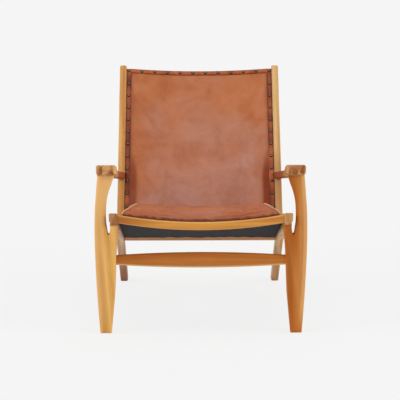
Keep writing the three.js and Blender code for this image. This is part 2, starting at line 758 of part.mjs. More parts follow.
// Grid of points on the pad, drawn in by the depth under its skin; its last row is tucked
// under the rear edge
function padGrid(skin) {
  const columns = padColumns();
  const rows = [...padRowShares, null];
  return rows.map((row) => columns.map(([wide, drop]) => {
    const tucked = row === null;
    const skirt = drop === null;
    const share = row ?? 1;
    const waist = padWaist * shareAt(seamShares, share);
    const drawnIn = skin + padTaper * share + (skirt ? waist : tucked ? padWaist + padTaper : 0);
    const x = wide * (1 - drawnIn / padHalfWidth);
    const reach = padRearY(wide) - skin - (tucked ? padWaist / 2 : skirt ? waist : 0);
    const y = padFrontY + (reach - padFrontY) * share;
    const floor = padBottomZ(x, y);
    const crown = padThickness * shareAt(crownShares, share);
    const seam = Math.min(crown, padThickness * shareAt(seamShares, share));
    const height = crown + (seam - crown) * (drop ?? 1);
    const low = Math.min(padSkirtGap, height / 4);
    return [x, y, floor + (skirt || tucked ? low : Math.max(height - skin, low))];
  }));
}

function seatCover() {
  return slab(padGrid(0), padGrid(coverThickness));
}

function seatFoam() {
  const top = padGrid(coverThickness + 2 * fitGap).slice(1);
  const lowEdge = Math.abs(top[0][0][0]);
  const drawnIn = (lowEdge - padWaist) / padHalfWidth;
  const between = spread(frontRailRearY, rearRailY, top.length - 3);
  const bottom = top.map((line, row) => line.map(([edgeX, edgeY], column) => {
    const x = column === 0 || column === line.length - 1 ? edgeX : edgeX * drawnIn;
    const y = row === 0 || row === top.length - 1 ? edgeY : between[row - 1];
    return [x, y, padBottomZ(x, y)];
  }));
  return slab(top, bottom);
}

function seatLining() {
  const ys = spread(frontRailRearY + fitGap, rearRailY - fitGap, railSteps / 4);
  const xs = spread(-liningHalfWidth, liningHalfWidth, railSteps * 2);
  const frontZ = (x) => frontRailTop(x) - frontRailHeight + liningRise;
  const rearZ = rearRailBottomZ + liningRearRise;
  const face = (rise) => ys.map((y) => xs.map((x) => {
    const share = (y - ys[0]) / (ys.at(-1) - ys[0]);
    const ripple = liningRipple * share * Math.sin(Math.PI * liningRippleCount * x / liningHalfWidth);
    return [x, y, frontZ(x) + (rearZ - frontZ(x)) * share + ripple + rise];
  }));
  return slab(face(liningThickness), face(0));
}

addPair("front_leg", frontLeg(), materials.wood);
addPair("side_rail", sideRail(), materials.wood);
addPair("upright", upright(), materials.wood);
addPair("armrest", armrest(), materials.wood);
addPiece("seat_front_rail", seatFrontRail(), materials.wood);
addPiece("seat_rear_rail", seatRearRail(), materials.wood);
addPiece("front_stretcher", frontStretcher(), materials.wood);
const backTopRail = backRail(topRailBottom, topRailHeight, topRailBow, topRailTenon);
const backLowerRail = backRail(lowerRailUp, lowerRailHeight, lowerRailBow, lowerRailTenon);
addPiece("back_top_rail", backTopRail, materials.wood);
addPiece("back_lower_rail", backLowerRail, materials.wood);

armLegDowels().forEach((pin, i) => addPair(`arm_leg_dowel_${i + 1}`, pin, materials.dowelWood));
forkDowels().forEach((pin, i) => addPair(`fork_dowel_${i + 1}`, pin, materials.dowelWood));
addPair("arm_back_dowel", armBackDowel(), materials.dowelWood);

addPiece("back_sling", backSling(), materials.leather);
addPair("back_strip", sideStrip(), materials.strip);
addPiece("top_back_strip", topStrip(), materials.strip);

for (let i = 0; i < strapCount; i += 1) {
  addPiece(`seat_strap_${i + 1}`, strap((i - (strapCount - 1) / 2) * strapPitch), materials.webbing);
}
addPiece("seat_foam", seatFoam(), materials.foam);
addPiece("seat_cover", seatCover(), materials.leather);
addPiece("seat_lining", seatLining(), materials.lining);

// The chair stands on Z zero, with its origin under the middle of its outline
const outline = new THREE.Box3().setFromObject(chair);
chair.position.y = -(outline.min.y + outline.max.y) / 2;

export default chair;
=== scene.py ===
"""Looks of a low lounge chair: a teak frame, a leather sling back and a padded leather seat.

Sizes are in millimetres and angles in radians. X runs across the chair, Y from its front to its
back and Z up, and Y is zero at the front of the front feet. mesh_object() turns a shape into
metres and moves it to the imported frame.
"""
import math

import bmesh
import bpy
import numpy as np
from mathutils import Matrix, Vector, noise


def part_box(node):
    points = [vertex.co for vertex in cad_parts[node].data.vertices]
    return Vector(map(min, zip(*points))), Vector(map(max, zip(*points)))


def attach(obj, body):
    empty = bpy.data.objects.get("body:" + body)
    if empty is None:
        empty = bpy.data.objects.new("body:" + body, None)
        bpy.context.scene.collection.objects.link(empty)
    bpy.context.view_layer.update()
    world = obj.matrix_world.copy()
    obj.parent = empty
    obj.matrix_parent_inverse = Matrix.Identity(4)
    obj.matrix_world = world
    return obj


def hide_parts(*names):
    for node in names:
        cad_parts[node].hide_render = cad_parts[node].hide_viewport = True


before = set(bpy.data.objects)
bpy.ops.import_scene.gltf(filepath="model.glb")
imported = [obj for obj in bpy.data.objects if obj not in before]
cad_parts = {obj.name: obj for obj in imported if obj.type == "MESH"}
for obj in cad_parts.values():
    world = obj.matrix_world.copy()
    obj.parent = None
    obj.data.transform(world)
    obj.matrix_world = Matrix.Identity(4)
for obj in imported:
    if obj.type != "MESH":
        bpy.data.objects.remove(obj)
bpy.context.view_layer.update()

MILLIMETRE = 0.001

# Side rails, each one member with the rear leg below its bend
side_inner = 266
side_thickness = 27
rail_front = 8
rail_underside_z = 355
rail_depth = 37
rail_slope = math.radians(18.5)
bend_y = 440
bend_ease = 55
rear_foot_y = 683
rear_foot_length = 50
side_round = 5
side_corner = 8
corner_cut_width = 9
corner_cut_height = 14
corner_cut_length = 60

# Front legs, forked at the top
leg_depth = 36
leg_lean = math.radians(3.2)
leg_round = 7
leg_outer_round = 2.1
foot_offset = 22
foot_width = 36
outer_swell = 15.6
prong_lip = 4.3
fork_depth = 35
fork_notch = 5
prong_clearance = 11
prong_flare = 29

# Armrests
arm_front = -5
arm_top = 534
arm_thickness = 24.4
arm_slope = math.radians(10.35)
arm_sweep_top = 16
arm_sweep_under = 11
arm_sweep_length = 92
arm_front_width = 65
arm_rear_width = 27
paddle_length = 95
paddle_taper = 190
arm_corner = 13
arm_round = 6

# Back frame, measured along and across the reclined uprights
back_foot_y = 449
recline = math.radians(33.5)
upright_length = 652
upright_width = 25
upright_inset = 1
upright_depth_foot = 37
upright_depth_top = 30
upright_round = 5
ledge_width = 19
ledge_recess = 8
ledge_depth = 16
back_rail_depth = 20
back_rail_round = 4
top_rail_drop = 14
top_rail_height = 44
top_rail_bow = 20
lower_rail_up = 26
lower_rail_height = 42
lower_rail_bow = 38

# Cross members of the seat and the legs
front_rail_setback = 4
front_rail_height = 27
front_rail_depth = 28
front_rail_bow = 24
front_rail_drop = 6
front_rail_round = 6
rear_rail_y = 445
rear_rail_bottom = 206
rear_rail_height = 28
rear_rail_depth = 26
rear_rail_round = 4
stretcher_z = 236
stretcher_end_height = 30
stretcher_swell = 18.6
stretcher_depth = 25
stretcher_round = 8

# Leather, strips and nails of the back
sling_thickness = 3.2
sling_slack = 6
sling_margin = 6
sling_sway = 1.3
sling_step = 6
strip_width = 18
strip_thickness = 2.6
strip_crown = 1.1
strip_dip = 0.7
strip_ridge_share = 0.2
strip_wander = 0.5
strip_step = 3
nail_diameter = 11.4
nail_rise = 3.2
nail_pitch = 48.6
nail_corner_gap = 54
top_nail_count = 12

# Seat pad, webbing and lining
pad_front = 15
pad_side_rear = 467
pad_rear_bow = 36
pad_side_gap = 17
pad_taper = 9
pad_thickness = 60
pad_waist = 9
pad_round = 44
pad_skirt_gap = 4
pad_start_inset = 2
pad_swell = 5
pad_voxel = 5
pad_row_count = 60
pad_round_steps = 8
cloth_frames = 20
cloth_quality = 6
cloth_pressure = 3.5
cloth_stiffness = 12
cloth_bending = 1.2
cloth_growth = 0.02
crease_pitch = 15
crease_reach = 34
crease_depth = 3
crease_wander = 9
wrinkle_depth = 1.6
pucker_depth = 1.1
seam_climb = 0.22
seam_lift = math.radians(20)
seam_lift_gain = math.radians(35)
corner_press = 0.45
corner_spread = 4
flange_width = 1.9
flange_thickness = 1.9
flange_wander = 0.5
flange_taper_share = 0.8
flange_tip_share = 1.08
cover_thickness = 2.4
foam_setback = 10
foam_flattening = 0.86
strap_width = 60
strap_thickness = 2.2
strap_pitch = 116
strap_count = 4
strap_inset = 8
strap_step = 10
lining_thickness = 1.2
lining_side_gap = 1
lining_rise = 3
lining_rear_rise = 12
lining_ripple = 2.4
lining_step_across = 5
lining_step_along = 9

# Meshing, clearance between touching pieces, and how far a cutter runs past what it cuts
fit_gap = 0.3
overrun = 20
step_length = 7
round_steps = 5
nose_steps = 10
crease_angle = math.radians(32)
pad_crease_angle = math.radians(80)

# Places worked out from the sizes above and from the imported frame
frame_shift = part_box("right_side_rail")[0].y / MILLIMETRE - rail_front
side_outer = side_inner + side_thickness
upright_inner = side_inner + upright_inset
ledge_inner = upright_inner - ledge_width
pad_half_width = side_inner - pad_side_gap
lining_half_width = side_inner - lining_side_gap
front_rail_y = rail_front + front_rail_setback
front_rail_rear = front_rail_y + front_rail_depth
rear_rail_top = rear_rail_bottom + rear_rail_height
lower_rail_top = lower_rail_up + lower_rail_height
top_rail_bottom = upright_length - top_rail_drop - top_rail_height
sling_top = top_rail_bottom + top_rail_height
prong_top_z = rail_underside_z
crotch_z = prong_top_z - fork_depth
foot_inner = side_inner + foot_offset
foot_outer = foot_inner + foot_width
prong_x = side_outer + prong_clearance


def rail_underside(y):
    return rail_underside_z - math.tan(rail_slope) * (y - rail_front)


def rail_top(y):
    return rail_underside(y) + rail_depth / math.cos(rail_slope)


def leg_front(z):
    return math.tan(leg_lean) * z


def front_rail_top(x):
    sag = front_rail_bow * (1 - (x / side_inner) ** 2)
    return rail_top(front_rail_y) - front_rail_drop - sag


back_foot_z = rail_top(back_foot_y)


def slanted(y, z, angle):
    """The frame in which a slanted piece is made upright, before it is turned about X."""
    return Matrix.Translation((0, y, z)) @ Matrix.Rotation(-angle, 4, "X")


back_frame = slanted(back_foot_y, back_foot_z, recline)
arm_frame = slanted(arm_front, arm_top, arm_slope)
rail_frame = slanted(rail_front, rail_underside_z, rail_slope)


# Curves and sections


def limited(share):
    return min(1, max(0, share))


def smooth_share(value, start, end):
    """Rises smoothly from 0 at the start to 1 at the end."""
    share = limited((value - start) / (end - start))
    return share * share * (3 - 2 * share)


def fade(value, start, end):
    """Falls smoothly from 1 at the start to 0 at the end."""
    return 1 - smooth_share(value, start, end)


def ripple(x, y, width, length, seed):
    """Smooth noise from about -1 to 1, with features of the given width and length."""
    return noise.noise(Vector((x / width, y / length, seed)))


def share_at(shares, place):
    """Reads a table of (place share, value share) pairs along a smooth curve through them."""
    places, values = np.array(shares, float).T
    slopes = np.gradient(values, places)
    place = min(max(place, places[0]), places[-1])
    k = min(int(np.searchsorted(places, place, side="right")) - 1, len(places) - 2)
    span = places[k + 1] - places[k]
    t = (place - places[k]) / span
    ends = values[k] * (1 + 2 * t) * (1 - t) ** 2 + values[k + 1] * t * t * (3 - 2 * t)
    return ends + span * (slopes[k] * t * (1 - t) ** 2 + slopes[k + 1] * t * t * (t - 1))


def spread(start, end, steps):
    return np.linspace(start, end, steps + 1)


def stations(start, end, length=step_length):
    return spread(start, end, max(1, math.ceil(abs(end - start) / length)))


def spline(points, steps=6):
    """Points of a curve through the given ones, without the first of them."""
    padded = [points[0], *points, points[-1]]
    curve = []
    for a, b, c, d in zip(padded, padded[1:], padded[2:], padded[3:]):
        for t in spread(0, 1, steps)[1:]:
            pull = [0.5 * (2 * q + (r - p) * t + (2 * p - 5 * q + 4 * r - s) * t**2
                           + (3 * q - p - 3 * r + s) * t**3) for p, q, r, s in zip(a, b, c, d)]
            curve.append(tuple(pull))
    return curve


def quadratic(start, control, end, steps=8):
    """Points of a quadratic curve, without its start."""
    return [tuple((1 - t) ** 2 * a + 2 * t * (1 - t) * b + t * t * c
                  for a, b, c in zip(start, control, end)) for t in spread(0, 1, steps)[1:]]


def rounded_section(width, height, radius):
    """A rectangle with rounded corners about its own centre, as (across, up) pairs."""
    radius = min(radius, width / 2, height / 2)
    points = []
    for quarter, (a, b) in enumerate([(1, 1), (-1, 1), (-1, -1), (1, -1)]):
        for turn in spread(quarter, quarter + 1, round_steps) * math.pi / 2:
            points.append((a * (width / 2 - radius) + radius * math.cos(turn),
                           b * (height / 2 - radius) + radius * math.sin(turn)))
    return points


# Shapes: a list of points and a list of faces


def loft(rings):
    """A closed body through rings of points with the same count, flat at both ends."""
    size = len(rings[0])
    faces = []
    for start in range(0, (len(rings) - 1) * size, size):
        for k in range(size):
            after = (k + 1) % size
            faces.append((start + k, start + after, start + after + size, start + k + size))
    last = (len(rings) - 1) * size
    faces += [tuple(range(size))[::-1], tuple(range(last, last + size))]
    return [tuple(point) for ring in rings for point in ring], faces


def plate(outline, thickness, radius, place, widths=1):
    """A flat outline with a thickness and rounded edges, its points put in place by a function.

    Widths widen the rounding across the face, at each point of the outline.
    """
    flat = np.array(outline, float)
    before = flat - np.roll(flat, 1, axis=0)
    after = np.roll(flat, -1, axis=0) - flat
    normals = [np.stack([d[:, 1], -d[:, 0]], axis=1) / np.linalg.norm(d, axis=1)[:, None]
               for d in (before, after)]
    mitre = (normals[0] + normals[1]) / (1 + (normals[0] * normals[1]).sum(axis=1))[:, None]
    turns = spread(0, math.pi / 2, round_steps)
    rims = [(radius * (1 - math.sin(t)), radius * (1 - math.cos(t))) for t in turns]
    rims += [(inset, thickness - depth) for inset, depth in reversed(rims)]
    mitre *= np.reshape(widths, (-1, 1))
    return loft([[place(x, y, depth) for x, y in flat - mitre * inset] for inset, depth in rims])


def slab(upper, lower):
    """A closed body between two grids of points with the same layout, such as a sheet's faces."""
    rows, columns = len(upper), len(upper[0])
    under = rows * columns
    faces = []
    for row in range(rows - 1):
        for column in range(columns - 1):
            a = row * columns + column
            quad = (a, a + 1, a + columns + 1, a + columns)
            faces += [quad, tuple(k + under for k in reversed(quad))]
    rim = [*range(columns - 1), *range(columns - 1, under - 1, columns),
           *range(under - 1, under - columns, -1), *range(under - columns, 0, -columns)]
    for a, b in zip(rim, rim[1:] + rim[:1]):
        faces.append((a, a + under, b + under, b))
    points = [tuple(point) for grid in (upper, lower) for line in grid for point in line]
    return points, faces


def block(size, centre):
    section = [(a * size[0] / 2, b * size[1] / 2) for a, b in ((1, 1), (-1, 1), (-1, -1), (1, -1))]
    return loft([[(centre[0] + a, centre[1] + b, centre[2] + c * size[2] / 2) for a, b in section]
                 for c in (-1, 1)])


def placed(shape, matrix):
    points, faces = shape
    return [tuple(matrix @ Vector(point)) for point in points], faces


def unturned(shape):
    return shape


def mirrored(shape):
    points, faces = shape
    return [(-x, y, z) for x, y, z in points], [tuple(reversed(face)) for face in faces]


def add_object(name, data):
    obj = bpy.data.objects.new(name, data)
    bpy.context.scene.collection.objects.link(obj)
    return obj


def mesh_object(name, shape):
    points, faces = shape
    mesh = bpy.data.meshes.new(name)
    mesh.from_pydata([(x, y + frame_shift, z) for x, y, z in points], [], faces)
    mesh.transform(Matrix.Scale(MILLIMETRE, 4))
    body = bmesh.new()
    body.from_mesh(mesh)
    bmesh.ops.recalc_face_normals(body, faces=body.faces)
    body.to_mesh(mesh)
    body.free()
    return add_object(name, mesh)


def place_of(vertex):
    """A point's place in millimetres, with Y from the front of the front feet."""
    x, y, z = vertex.co / MILLIMETRE
    return x, y - frame_shift, z


def move_points(vertices, moved):
    """Moves each point to where a function of its place puts it."""
    for vertex in vertices:
        x, y, z = moved(*place_of(vertex))
        vertex.co = Vector((x, y + frame_shift, z)) * MILLIMETRE


def keep_shares(obj, name, shares):
    """Keeps one share for each point of a piece, for its material to read."""
    obj.data.attributes.new(name, "FLOAT", "POINT").data.foreach_set("value", shares)


def shade(obj, **shades):
    """Keeps each named share on a piece, worked out from the places of its points."""
    for name, share_of in shades.items():
        places = [place_of(vertex) for vertex in obj.data.vertices]
        keep_shares(obj, name, [limited(share_of(*place)) for place in places])


def carve(obj, shape, operation="DIFFERENCE"):
    """Cuts a shape from a piece, or joins it, and keeps only the result."""
    tool = mesh_object(f"{obj.name}_tool", shape)
    modifier = obj.modifiers.new("carve", "BOOLEAN")
    modifier.operation = operation
    modifier.solver = "EXACT"
    modifier.object = tool
    depsgraph = bpy.context.evaluated_depsgraph_get()
    carved = bpy.data.meshes.new_from_object(obj.evaluated_get(depsgraph))
    obj.modifiers.clear()
    obj.data = carved
    bpy.data.objects.remove(tool)


def finish_piece(obj, material, node, crease=crease_angle):
    """Shades a piece smooth up to its creases, gives it its material and body, and hides the node
    it replaces.
    """
    body = bmesh.new()
    body.from_mesh(obj.data)
    bmesh.ops.remove_doubles(body, verts=body.verts, dist=fit_gap * MILLIMETRE / 100)
    for face in body.faces:
        face.smooth = True
    for edge in body.edges:
        edge.smooth = len(edge.link_faces) == 2 and edge.calc_face_angle() < crease
    body.to_mesh(obj.data)
    body.free()
    obj.data.materials.clear()
    obj.data.materials.append(material)
    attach(obj, "root")
    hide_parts(node)
    return obj


# Materials


def add_node(tree, kind, inputs=None, **settings):
    node = tree.nodes.new(kind)
    for name, value in settings.items():
        setattr(node, name, value)
    for name, value in (inputs or {}).items():
        if isinstance(value, bpy.types.NodeSocket):
            tree.links.new(value, node.inputs[name])
        else:
            node.inputs[name].default_value = value
    return node


def new_material(name, **values):
    material = bpy.data.materials.new(name)
    material.use_nodes = True
    shader = material.node_tree.nodes["Principled BSDF"]
    for socket, value in values.items():
        shader.inputs[socket.replace("_", " ").title().replace("Ior", "IOR")].default_value = value
    return material, material.node_tree, shader


def stretched(tree, along, sizes, seed):
    """Coordinates whose Z runs along a direction, counted in features of the given sizes."""
    coordinates = add_node(tree, "ShaderNodeTexCoord")
    turn = Vector((0, 0, 1)).rotation_difference(Vector(along)).to_euler()
    scale = [size * MILLIMETRE for size in sizes]
    mapping = add_node(tree, "ShaderNodeMapping", {
        "Vector": coordinates.outputs["Object"], "Location": seed, "Rotation": turn, "Scale": scale,
    }, vector_type="TEXTURE")
    return mapping.outputs["Vector"]


def even(tree, size, seed):
    """Coordinates counted in features of one size in every direction."""
    return stretched(tree, (0, 0, 1), (size, size, size), seed)


def noise_of(tree, vector, detail=3, roughness=0.5, distortion=0):
    node = add_node(tree, "ShaderNodeTexNoise", {
        "Vector": vector, "Scale": 1, "Detail": detail, "Roughness": roughness,
        "Distortion": distortion})
    return node.outputs["Fac"]


def kept_share(tree, name):
    """The share that keep_shares() kept on the piece under a name."""
    return add_node(tree, "ShaderNodeAttribute", attribute_name=name).outputs["Fac"]


def ramp(tree, factor, stops):
    node = add_node(tree, "ShaderNodeValToRGB", {"Fac": factor})
    elements = node.color_ramp.elements
    while len(elements) < len(stops):
        elements.new(0.5)
    for element, (place, colour) in zip(elements, stops):
        element.position = place
        element.color = (*colour, 1)
    return node.outputs["Color"]


def grey(value):
    return (value, value, value)


def level(tree, factor, low, high, bottom=0, top=1):
    """Takes a factor from between two values to between two others."""
    node = add_node(tree, "ShaderNodeMapRange", {
        "Value": factor, "From Min": low, "From Max": high, "To Min": bottom, "To Max": top})
    return node.outputs["Result"]


def blended(tree, factor, first, second, mode="MIX"):
    node = add_node(tree, "ShaderNodeMix", data_type="RGBA", blend_type=mode)
    for index, value in ((0, factor), (6, first), (7, second)):
        if isinstance(value, bpy.types.NodeSocket):
            tree.links.new(value, node.inputs[index])
        else:
            node.inputs[index].default_value = (*value, 1) if index else value
    return node.outputs[2]


def calculated(tree, operation, first, second):
    node = add_node(tree, "ShaderNodeMath", operation=operation)
    for index, value in enumerate((first, second)):
        if isinstance(value, bpy.types.NodeSocket):
            tree.links.new(value, node.inputs[index])
        else:
            node.inputs[index].default_value = value
    return node.outputs[0]


def weighed(tree, first, first_share, second, second_share):
    return calculated(tree, "ADD", calculated(tree, "MULTIPLY", first, first_share),
                      calculated(tree, "MULTIPLY", second, second_share))


def raised(tree, height, strength, depth):
    """A normal for relief of the given height map, its depth in millimetres."""
    bump = add_node(tree, "ShaderNodeBump", {
        "Height": height, "Strength": strength, "Distance": depth * MILLIMETRE})
    return bump.outputs["Normal"]


def wire(tree, shader, **sources):
    for socket, source in sources.items():
        tree.links.new(source, shader.inputs[socket.replace("_", " ").title()])


def tinted(colour, shares):
    return tuple(value * share for value, share in zip(colour, shares))


# Tints are shares of a material's own colour, and sizes run across and along the grain
light_tint = (1.22, 1.36, 1.6)
dark_tint = (0.72, 0.56, 0.42)
pore_tint = (0.42, 0.3, 0.22)
# The deep tint also paints shade on the arms' top rims, and the pale wood colour paints highlights
# along rounded edges.
deep_tint = (0.5, 0.3, 0.2)
pale_wood_and_highlight = (0.8, 0.46, 0.175)
mottle_wood = (0.26, 0.075, 0.018)
streak_sizes = (6, 6, 260)
cloud_sizes = (38, 38, 210)
fibre_sizes = (0.8, 0.8, 22)
ring_sizes = (68, 68, 900)
blotch_sizes = (17, 17, 48)
ring_contrast = 0.24
pore_share = 0.15


def wood(name, colour, along, seed, figure=0.5):
    """Oiled teak: growth rings about an axis beside the piece, soft streaks and fine pores.

    It is deeper where "deep" is high, paler where "pale" is, and blotched where "mottled" is.
    Along rounded edges the paler colour is a painted highlight, and along the arms' top rims the
    deeper one is painted shade.
    """
    material, tree, shader = new_material(name, roughness=0.42, specular_ior_level=0.2)
    here = (seed * 0.61, seed * 0.37, seed * 0.83)
    streaks = noise_of(tree, stretched(tree, along, streak_sizes, here), detail=5, roughness=0.55)
    clouds = noise_of(tree, stretched(tree, along, cloud_sizes, here))
    fibres = noise_of(tree, stretched(tree, along, fibre_sizes, here), detail=2, roughness=0.6)
    heart = (0.06 + 0.013 * seed, 0.12 - 0.009 * seed, 0.02)
    rings = add_node(tree, "ShaderNodeTexWave", {
        "Vector": stretched(tree, along, ring_sizes, heart), "Scale": 1, "Distortion": 3.2,
        "Detail": 4, "Detail Scale": 1.2, "Detail Roughness": 0.6,
    }, wave_type="RINGS", rings_direction="Z", wave_profile="SIN")
    contrast = ring_contrast * figure
    tone = calculated(tree, "ADD", weighed(tree, streaks, 0.5, clouds, 0.5),
                      level(tree, rings.outputs["Fac"], 0, 1, -contrast, contrast))
    colours = ramp(tree, tone, [(0.25, tinted(colour, light_tint)), (0.5, colour),
                                (0.8, tinted(colour, dark_tint))])
    pores = level(tree, fibres, 0.34, 0.46, pore_share, 0)
    colours = blended(tree, pores, colours, tinted(colour, pore_tint))
    colours = blended(tree, kept_share(tree, "deep"), colours, tinted(colour, deep_tint))
    colours = blended(tree, kept_share(tree, "pale"), colours, pale_wood_and_highlight)
    blotches = noise_of(tree, stretched(tree, (0, 0, 1), blotch_sizes, (seed, seed, 0)), detail=4,
                        distortion=0.6)
    mottled = calculated(tree, "MULTIPLY", kept_share(tree, "mottled"),
                         level(tree, blotches, 0.4, 0.55))
    height = calculated(tree, "SUBTRACT", calculated(tree, "MULTIPLY", streaks, 0.6), pores)
    wire(tree, shader, base_color=blended(tree, mottled, colours, mottle_wood),
         roughness=level(tree, streaks, 0.3, 0.7, 0.36, 0.5),
         normal=raised(tree, height, 0.22, 0.4))
    return material


# The leather's shades are tints too
hide_light_tint = (1.1, 1.24, 1.45)
hide_dark_tint = (0.82, 0.68, 0.58)
hide_warm_tint = (1.02, 0.74, 0.4)
hide_mottle_size = 24
fold_size = 16
pebble_size = 2.2


def hide_relief(tree, strength, seed):
    """Fine leather grain: small pebbles with creases between them, over soft folds."""
    pebbles = add_node(tree, "ShaderNodeTexVoronoi", {
        "Vector": even(tree, 1, seed), "Scale": 1 / pebble_size, "Randomness": 1,
    }, feature="SMOOTH_F1")
    folds = noise_of(tree, even(tree, fold_size, seed))
    height = weighed(tree, folds, 1.2, pebbles.outputs["Distance"], 0.2)
    return raised(tree, height, strength, 0.5)


def leather(name, colour, worn_colour, seed, strength, roughness, cloud=110):
    """Waxed hide in broad clouds: redder where "warm" is high, and dark with wear and painted
    shade.
    """
    material, tree, shader = new_material(name, roughness=roughness, specular_ior_level=0.22)
    clouds = noise_of(tree, even(tree, cloud, seed), detail=5, distortion=0.8)
    mottle = noise_of(tree, even(tree, hide_mottle_size, seed), detail=6, roughness=0.6)
    tone = weighed(tree, clouds, 0.72, mottle, 0.28)
    colours = ramp(tree, tone, [(0.3, tinted(colour, hide_light_tint)), (0.5, colour),
                                (0.7, tinted(colour, hide_dark_tint))])
    colours = blended(tree, kept_share(tree, "warm"), colours, hide_warm_tint, mode="MULTIPLY")
    wire(tree, shader, base_color=blended(tree, kept_share(tree, "worn"), colours, worn_colour),
         roughness=level(tree, mottle, 0.3, 0.7, roughness - 0.08, roughness + 0.1),
         normal=hide_relief(tree, strength, seed))
    return material


def woven(name, light, dark, pitch, seed, roughness=0.85):
    """Plain weave of the given thread pitch, for the webbing and the lining."""
    material, tree, shader = new_material(name, roughness=roughness, specular_ior_level=0.2)
    threads_per_unit = 10
    threads = []
    for direction in ("X", "Y"):
        wave = add_node(tree, "ShaderNodeTexWave", {
            "Vector": even(tree, pitch * threads_per_unit, seed), "Scale": math.pi / 2,
            "Distortion": 0.4}, bands_direction=direction)
        threads.append(wave.outputs["Fac"])
    weave = calculated(tree, "MAXIMUM", *threads)
    fuzz = noise_of(tree, even(tree, 9, seed), detail=4)
    tone = weighed(tree, weave, 0.6, fuzz, 0.4)
    wire(tree, shader, base_color=ramp(tree, tone, [(0.2, dark), (0.8, light)]),
         normal=raised(tree, weave, 0.5, 0.3))
    return material


def foam_material(name, light, dark, cell, seed):
    material, tree, shader = new_material(name, roughness=0.95)
    cells = add_node(tree, "ShaderNodeTexVoronoi", {"Vector": even(tree, cell, seed), "Scale": 1})
    depth = cells.outputs["Distance"]
    wire(tree, shader, base_color=ramp(tree, depth, [(0, dark), (0.6, light)]),
         normal=raised(tree, depth, 0.6, 0.5))
    return material


def aged_metal(name, bright, patina, speck, seed):
    """Nail metal: rubbed bright at the crown, dark where the "worn" attribute is high."""
    material, tree, shader = new_material(name, metallic=0.9, roughness=0.3)
    tarnish = noise_of(tree, even(tree, speck, seed), detail=4)
    colours = ramp(tree, tarnish, [(0.3, tinted(bright, (0.7, 0.65, 0.6))), (0.7, bright)])
    wire(tree, shader, base_color=blended(tree, kept_share(tree, "worn"), colours, patina),
         roughness=level(tree, tarnish, 0.3, 0.7, 0.24, 0.42))
    return material


# Wooden pieces

outer_edge_shares = [(0, 0), (0.19, 0.47), (0.4, 0.82), (0.59, 1), (0.75, 0.94), (0.88, 0.66),
                     (1, 0.34)]
prong_edge_shares = [(1, 1), (0.85, 0.67), (0.72, 0.36), (0.55, 0.1), (0.35, 0.01), (0.2, 0.03),
                     (0.1, 0.12)]
inner_edge_shares = [(1, 1), (0.89, 0.85), (0.74, 0.68), (0.52, 0.56), (0.36, 0.46), (0.21, 0.27),
                     (0, 0)]

golden = (0.7, 0.36, 0.088)
honey = (0.6, 0.29, 0.085)
straw = (0.66, 0.39, 0.155)
amber = (0.62, 0.255, 0.043)
russet = (0.465, 0.131, 0.01)
sienna = (0.43, 0.128, 0.016)
chestnut = (0.43, 0.155, 0.052)
walnut = (0.54, 0.24, 0.085)
blush = (0.62, 0.37, 0.21)
rose = (0.66, 0.33, 0.15)
beech = (0.56, 0.36, 0.18)

# Which way the grain runs
rail_grain = math.radians(31)
along_leg = (0, math.sin(leg_lean), math.cos(leg_lean))
along_bent_leg = (-0.07, 0.05, 1)
along_rail = (0, math.cos(rail_grain), -math.sin(rail_grain))
along_arm = (0, math.cos(arm_slope), -math.sin(arm_slope))
along_upright = (0, math.sin(recline), math.cos(recline))
across = (1, 0, 0)


def arm_place(x, along, up):
    """A point of the arm in its frame: its front sweeps up and thickens."""
    sweep = 1 - smooth_share(along, 0, arm_sweep_length)
    rise = arm_sweep_under + (arm_sweep_top - arm_sweep_under) * up / arm_thickness
    return (x, along, up - arm_thickness + sweep * rise)


def arm_underside(y):
    along = (y - arm_front) / math.cos(arm_slope)
    fall = math.tan(arm_slope) * (y - arm_front)
    return arm_top - fall + arm_place(0, along, 0)[2] / math.cos(arm_slope)


def leg_outline():
    leg_top = arm_underside(leg_front(arm_top))
    outer = [(foot_outer + outer_swell * out, leg_top * up) for up, out in outer_edge_shares]
    prong = [(prong_x - prong_flare * out, crotch_z + (leg_top - crotch_z) * up)
             for up, out in prong_edge_shares]
    inner = [(foot_inner - (foot_offset + prong_lip) * out, prong_top_z * up)
             for up, out in inner_edge_shares]
    prong_outer = side_outer - corner_cut_width
    crotch = (side_outer + fork_notch / 2, crotch_z)
    notch_end = (prong_outer + fork_notch, prong_top_z - fork_notch)
    return [
        outer[0], *spline(outer), (outer[-1][0], leg_top + overrun),
        (prong[0][0], leg_top + overrun), prong[0], *spline(prong),
        *quadratic(prong[-1], (prong_x - fork_notch, crotch_z), crotch),
        *quadratic(crotch, (side_outer - fork_notch / 2, crotch_z), notch_end),
        (prong_outer + fork_notch / 2, prong_top_z + overrun), (inner[0][0], prong_top_z + overrun),
        inner[0], *spline(inner),
    ]


def above_arm_underside():
    sides = (side_inner - overrun, side_inner + arm_front_width + overrun)
    alongs = stations(-overrun, arm_sweep_length)
    faces = [[[arm_place(x, along, up) for x in sides] for along in alongs]
             for up in (arm_front_width, -fit_gap)]
    return placed(slab(*faces), arm_frame)


def above_rail_underside():
    width = side_thickness + prong_lip + overrun
    centre = (side_outer + fit_gap - width / 2, leg_depth, rail_depth / 2 - fit_gap)
    return placed(block((width, leg_depth + 2 * overrun, rail_depth), centre), rail_frame)


def leg_outer(z):
    up = z / arm_underside(leg_front(arm_top))
    return foot_outer + outer_swell * share_at(outer_edge_shares, up)


def front_leg():
    def place(x, z, back):
        return (x, leg_front(z) + back, z)

    outline = leg_outline()
    widths = []
    for x, z in outline:
        outer = leg_outer(z) - x < outer_swell / 4 and z < arm_top
        widths.append(1 + (leg_outer_round - 1) * smooth_share(z, 0, foot_width) if outer else 1)
    return plate(outline, leg_depth, leg_round, place, widths)


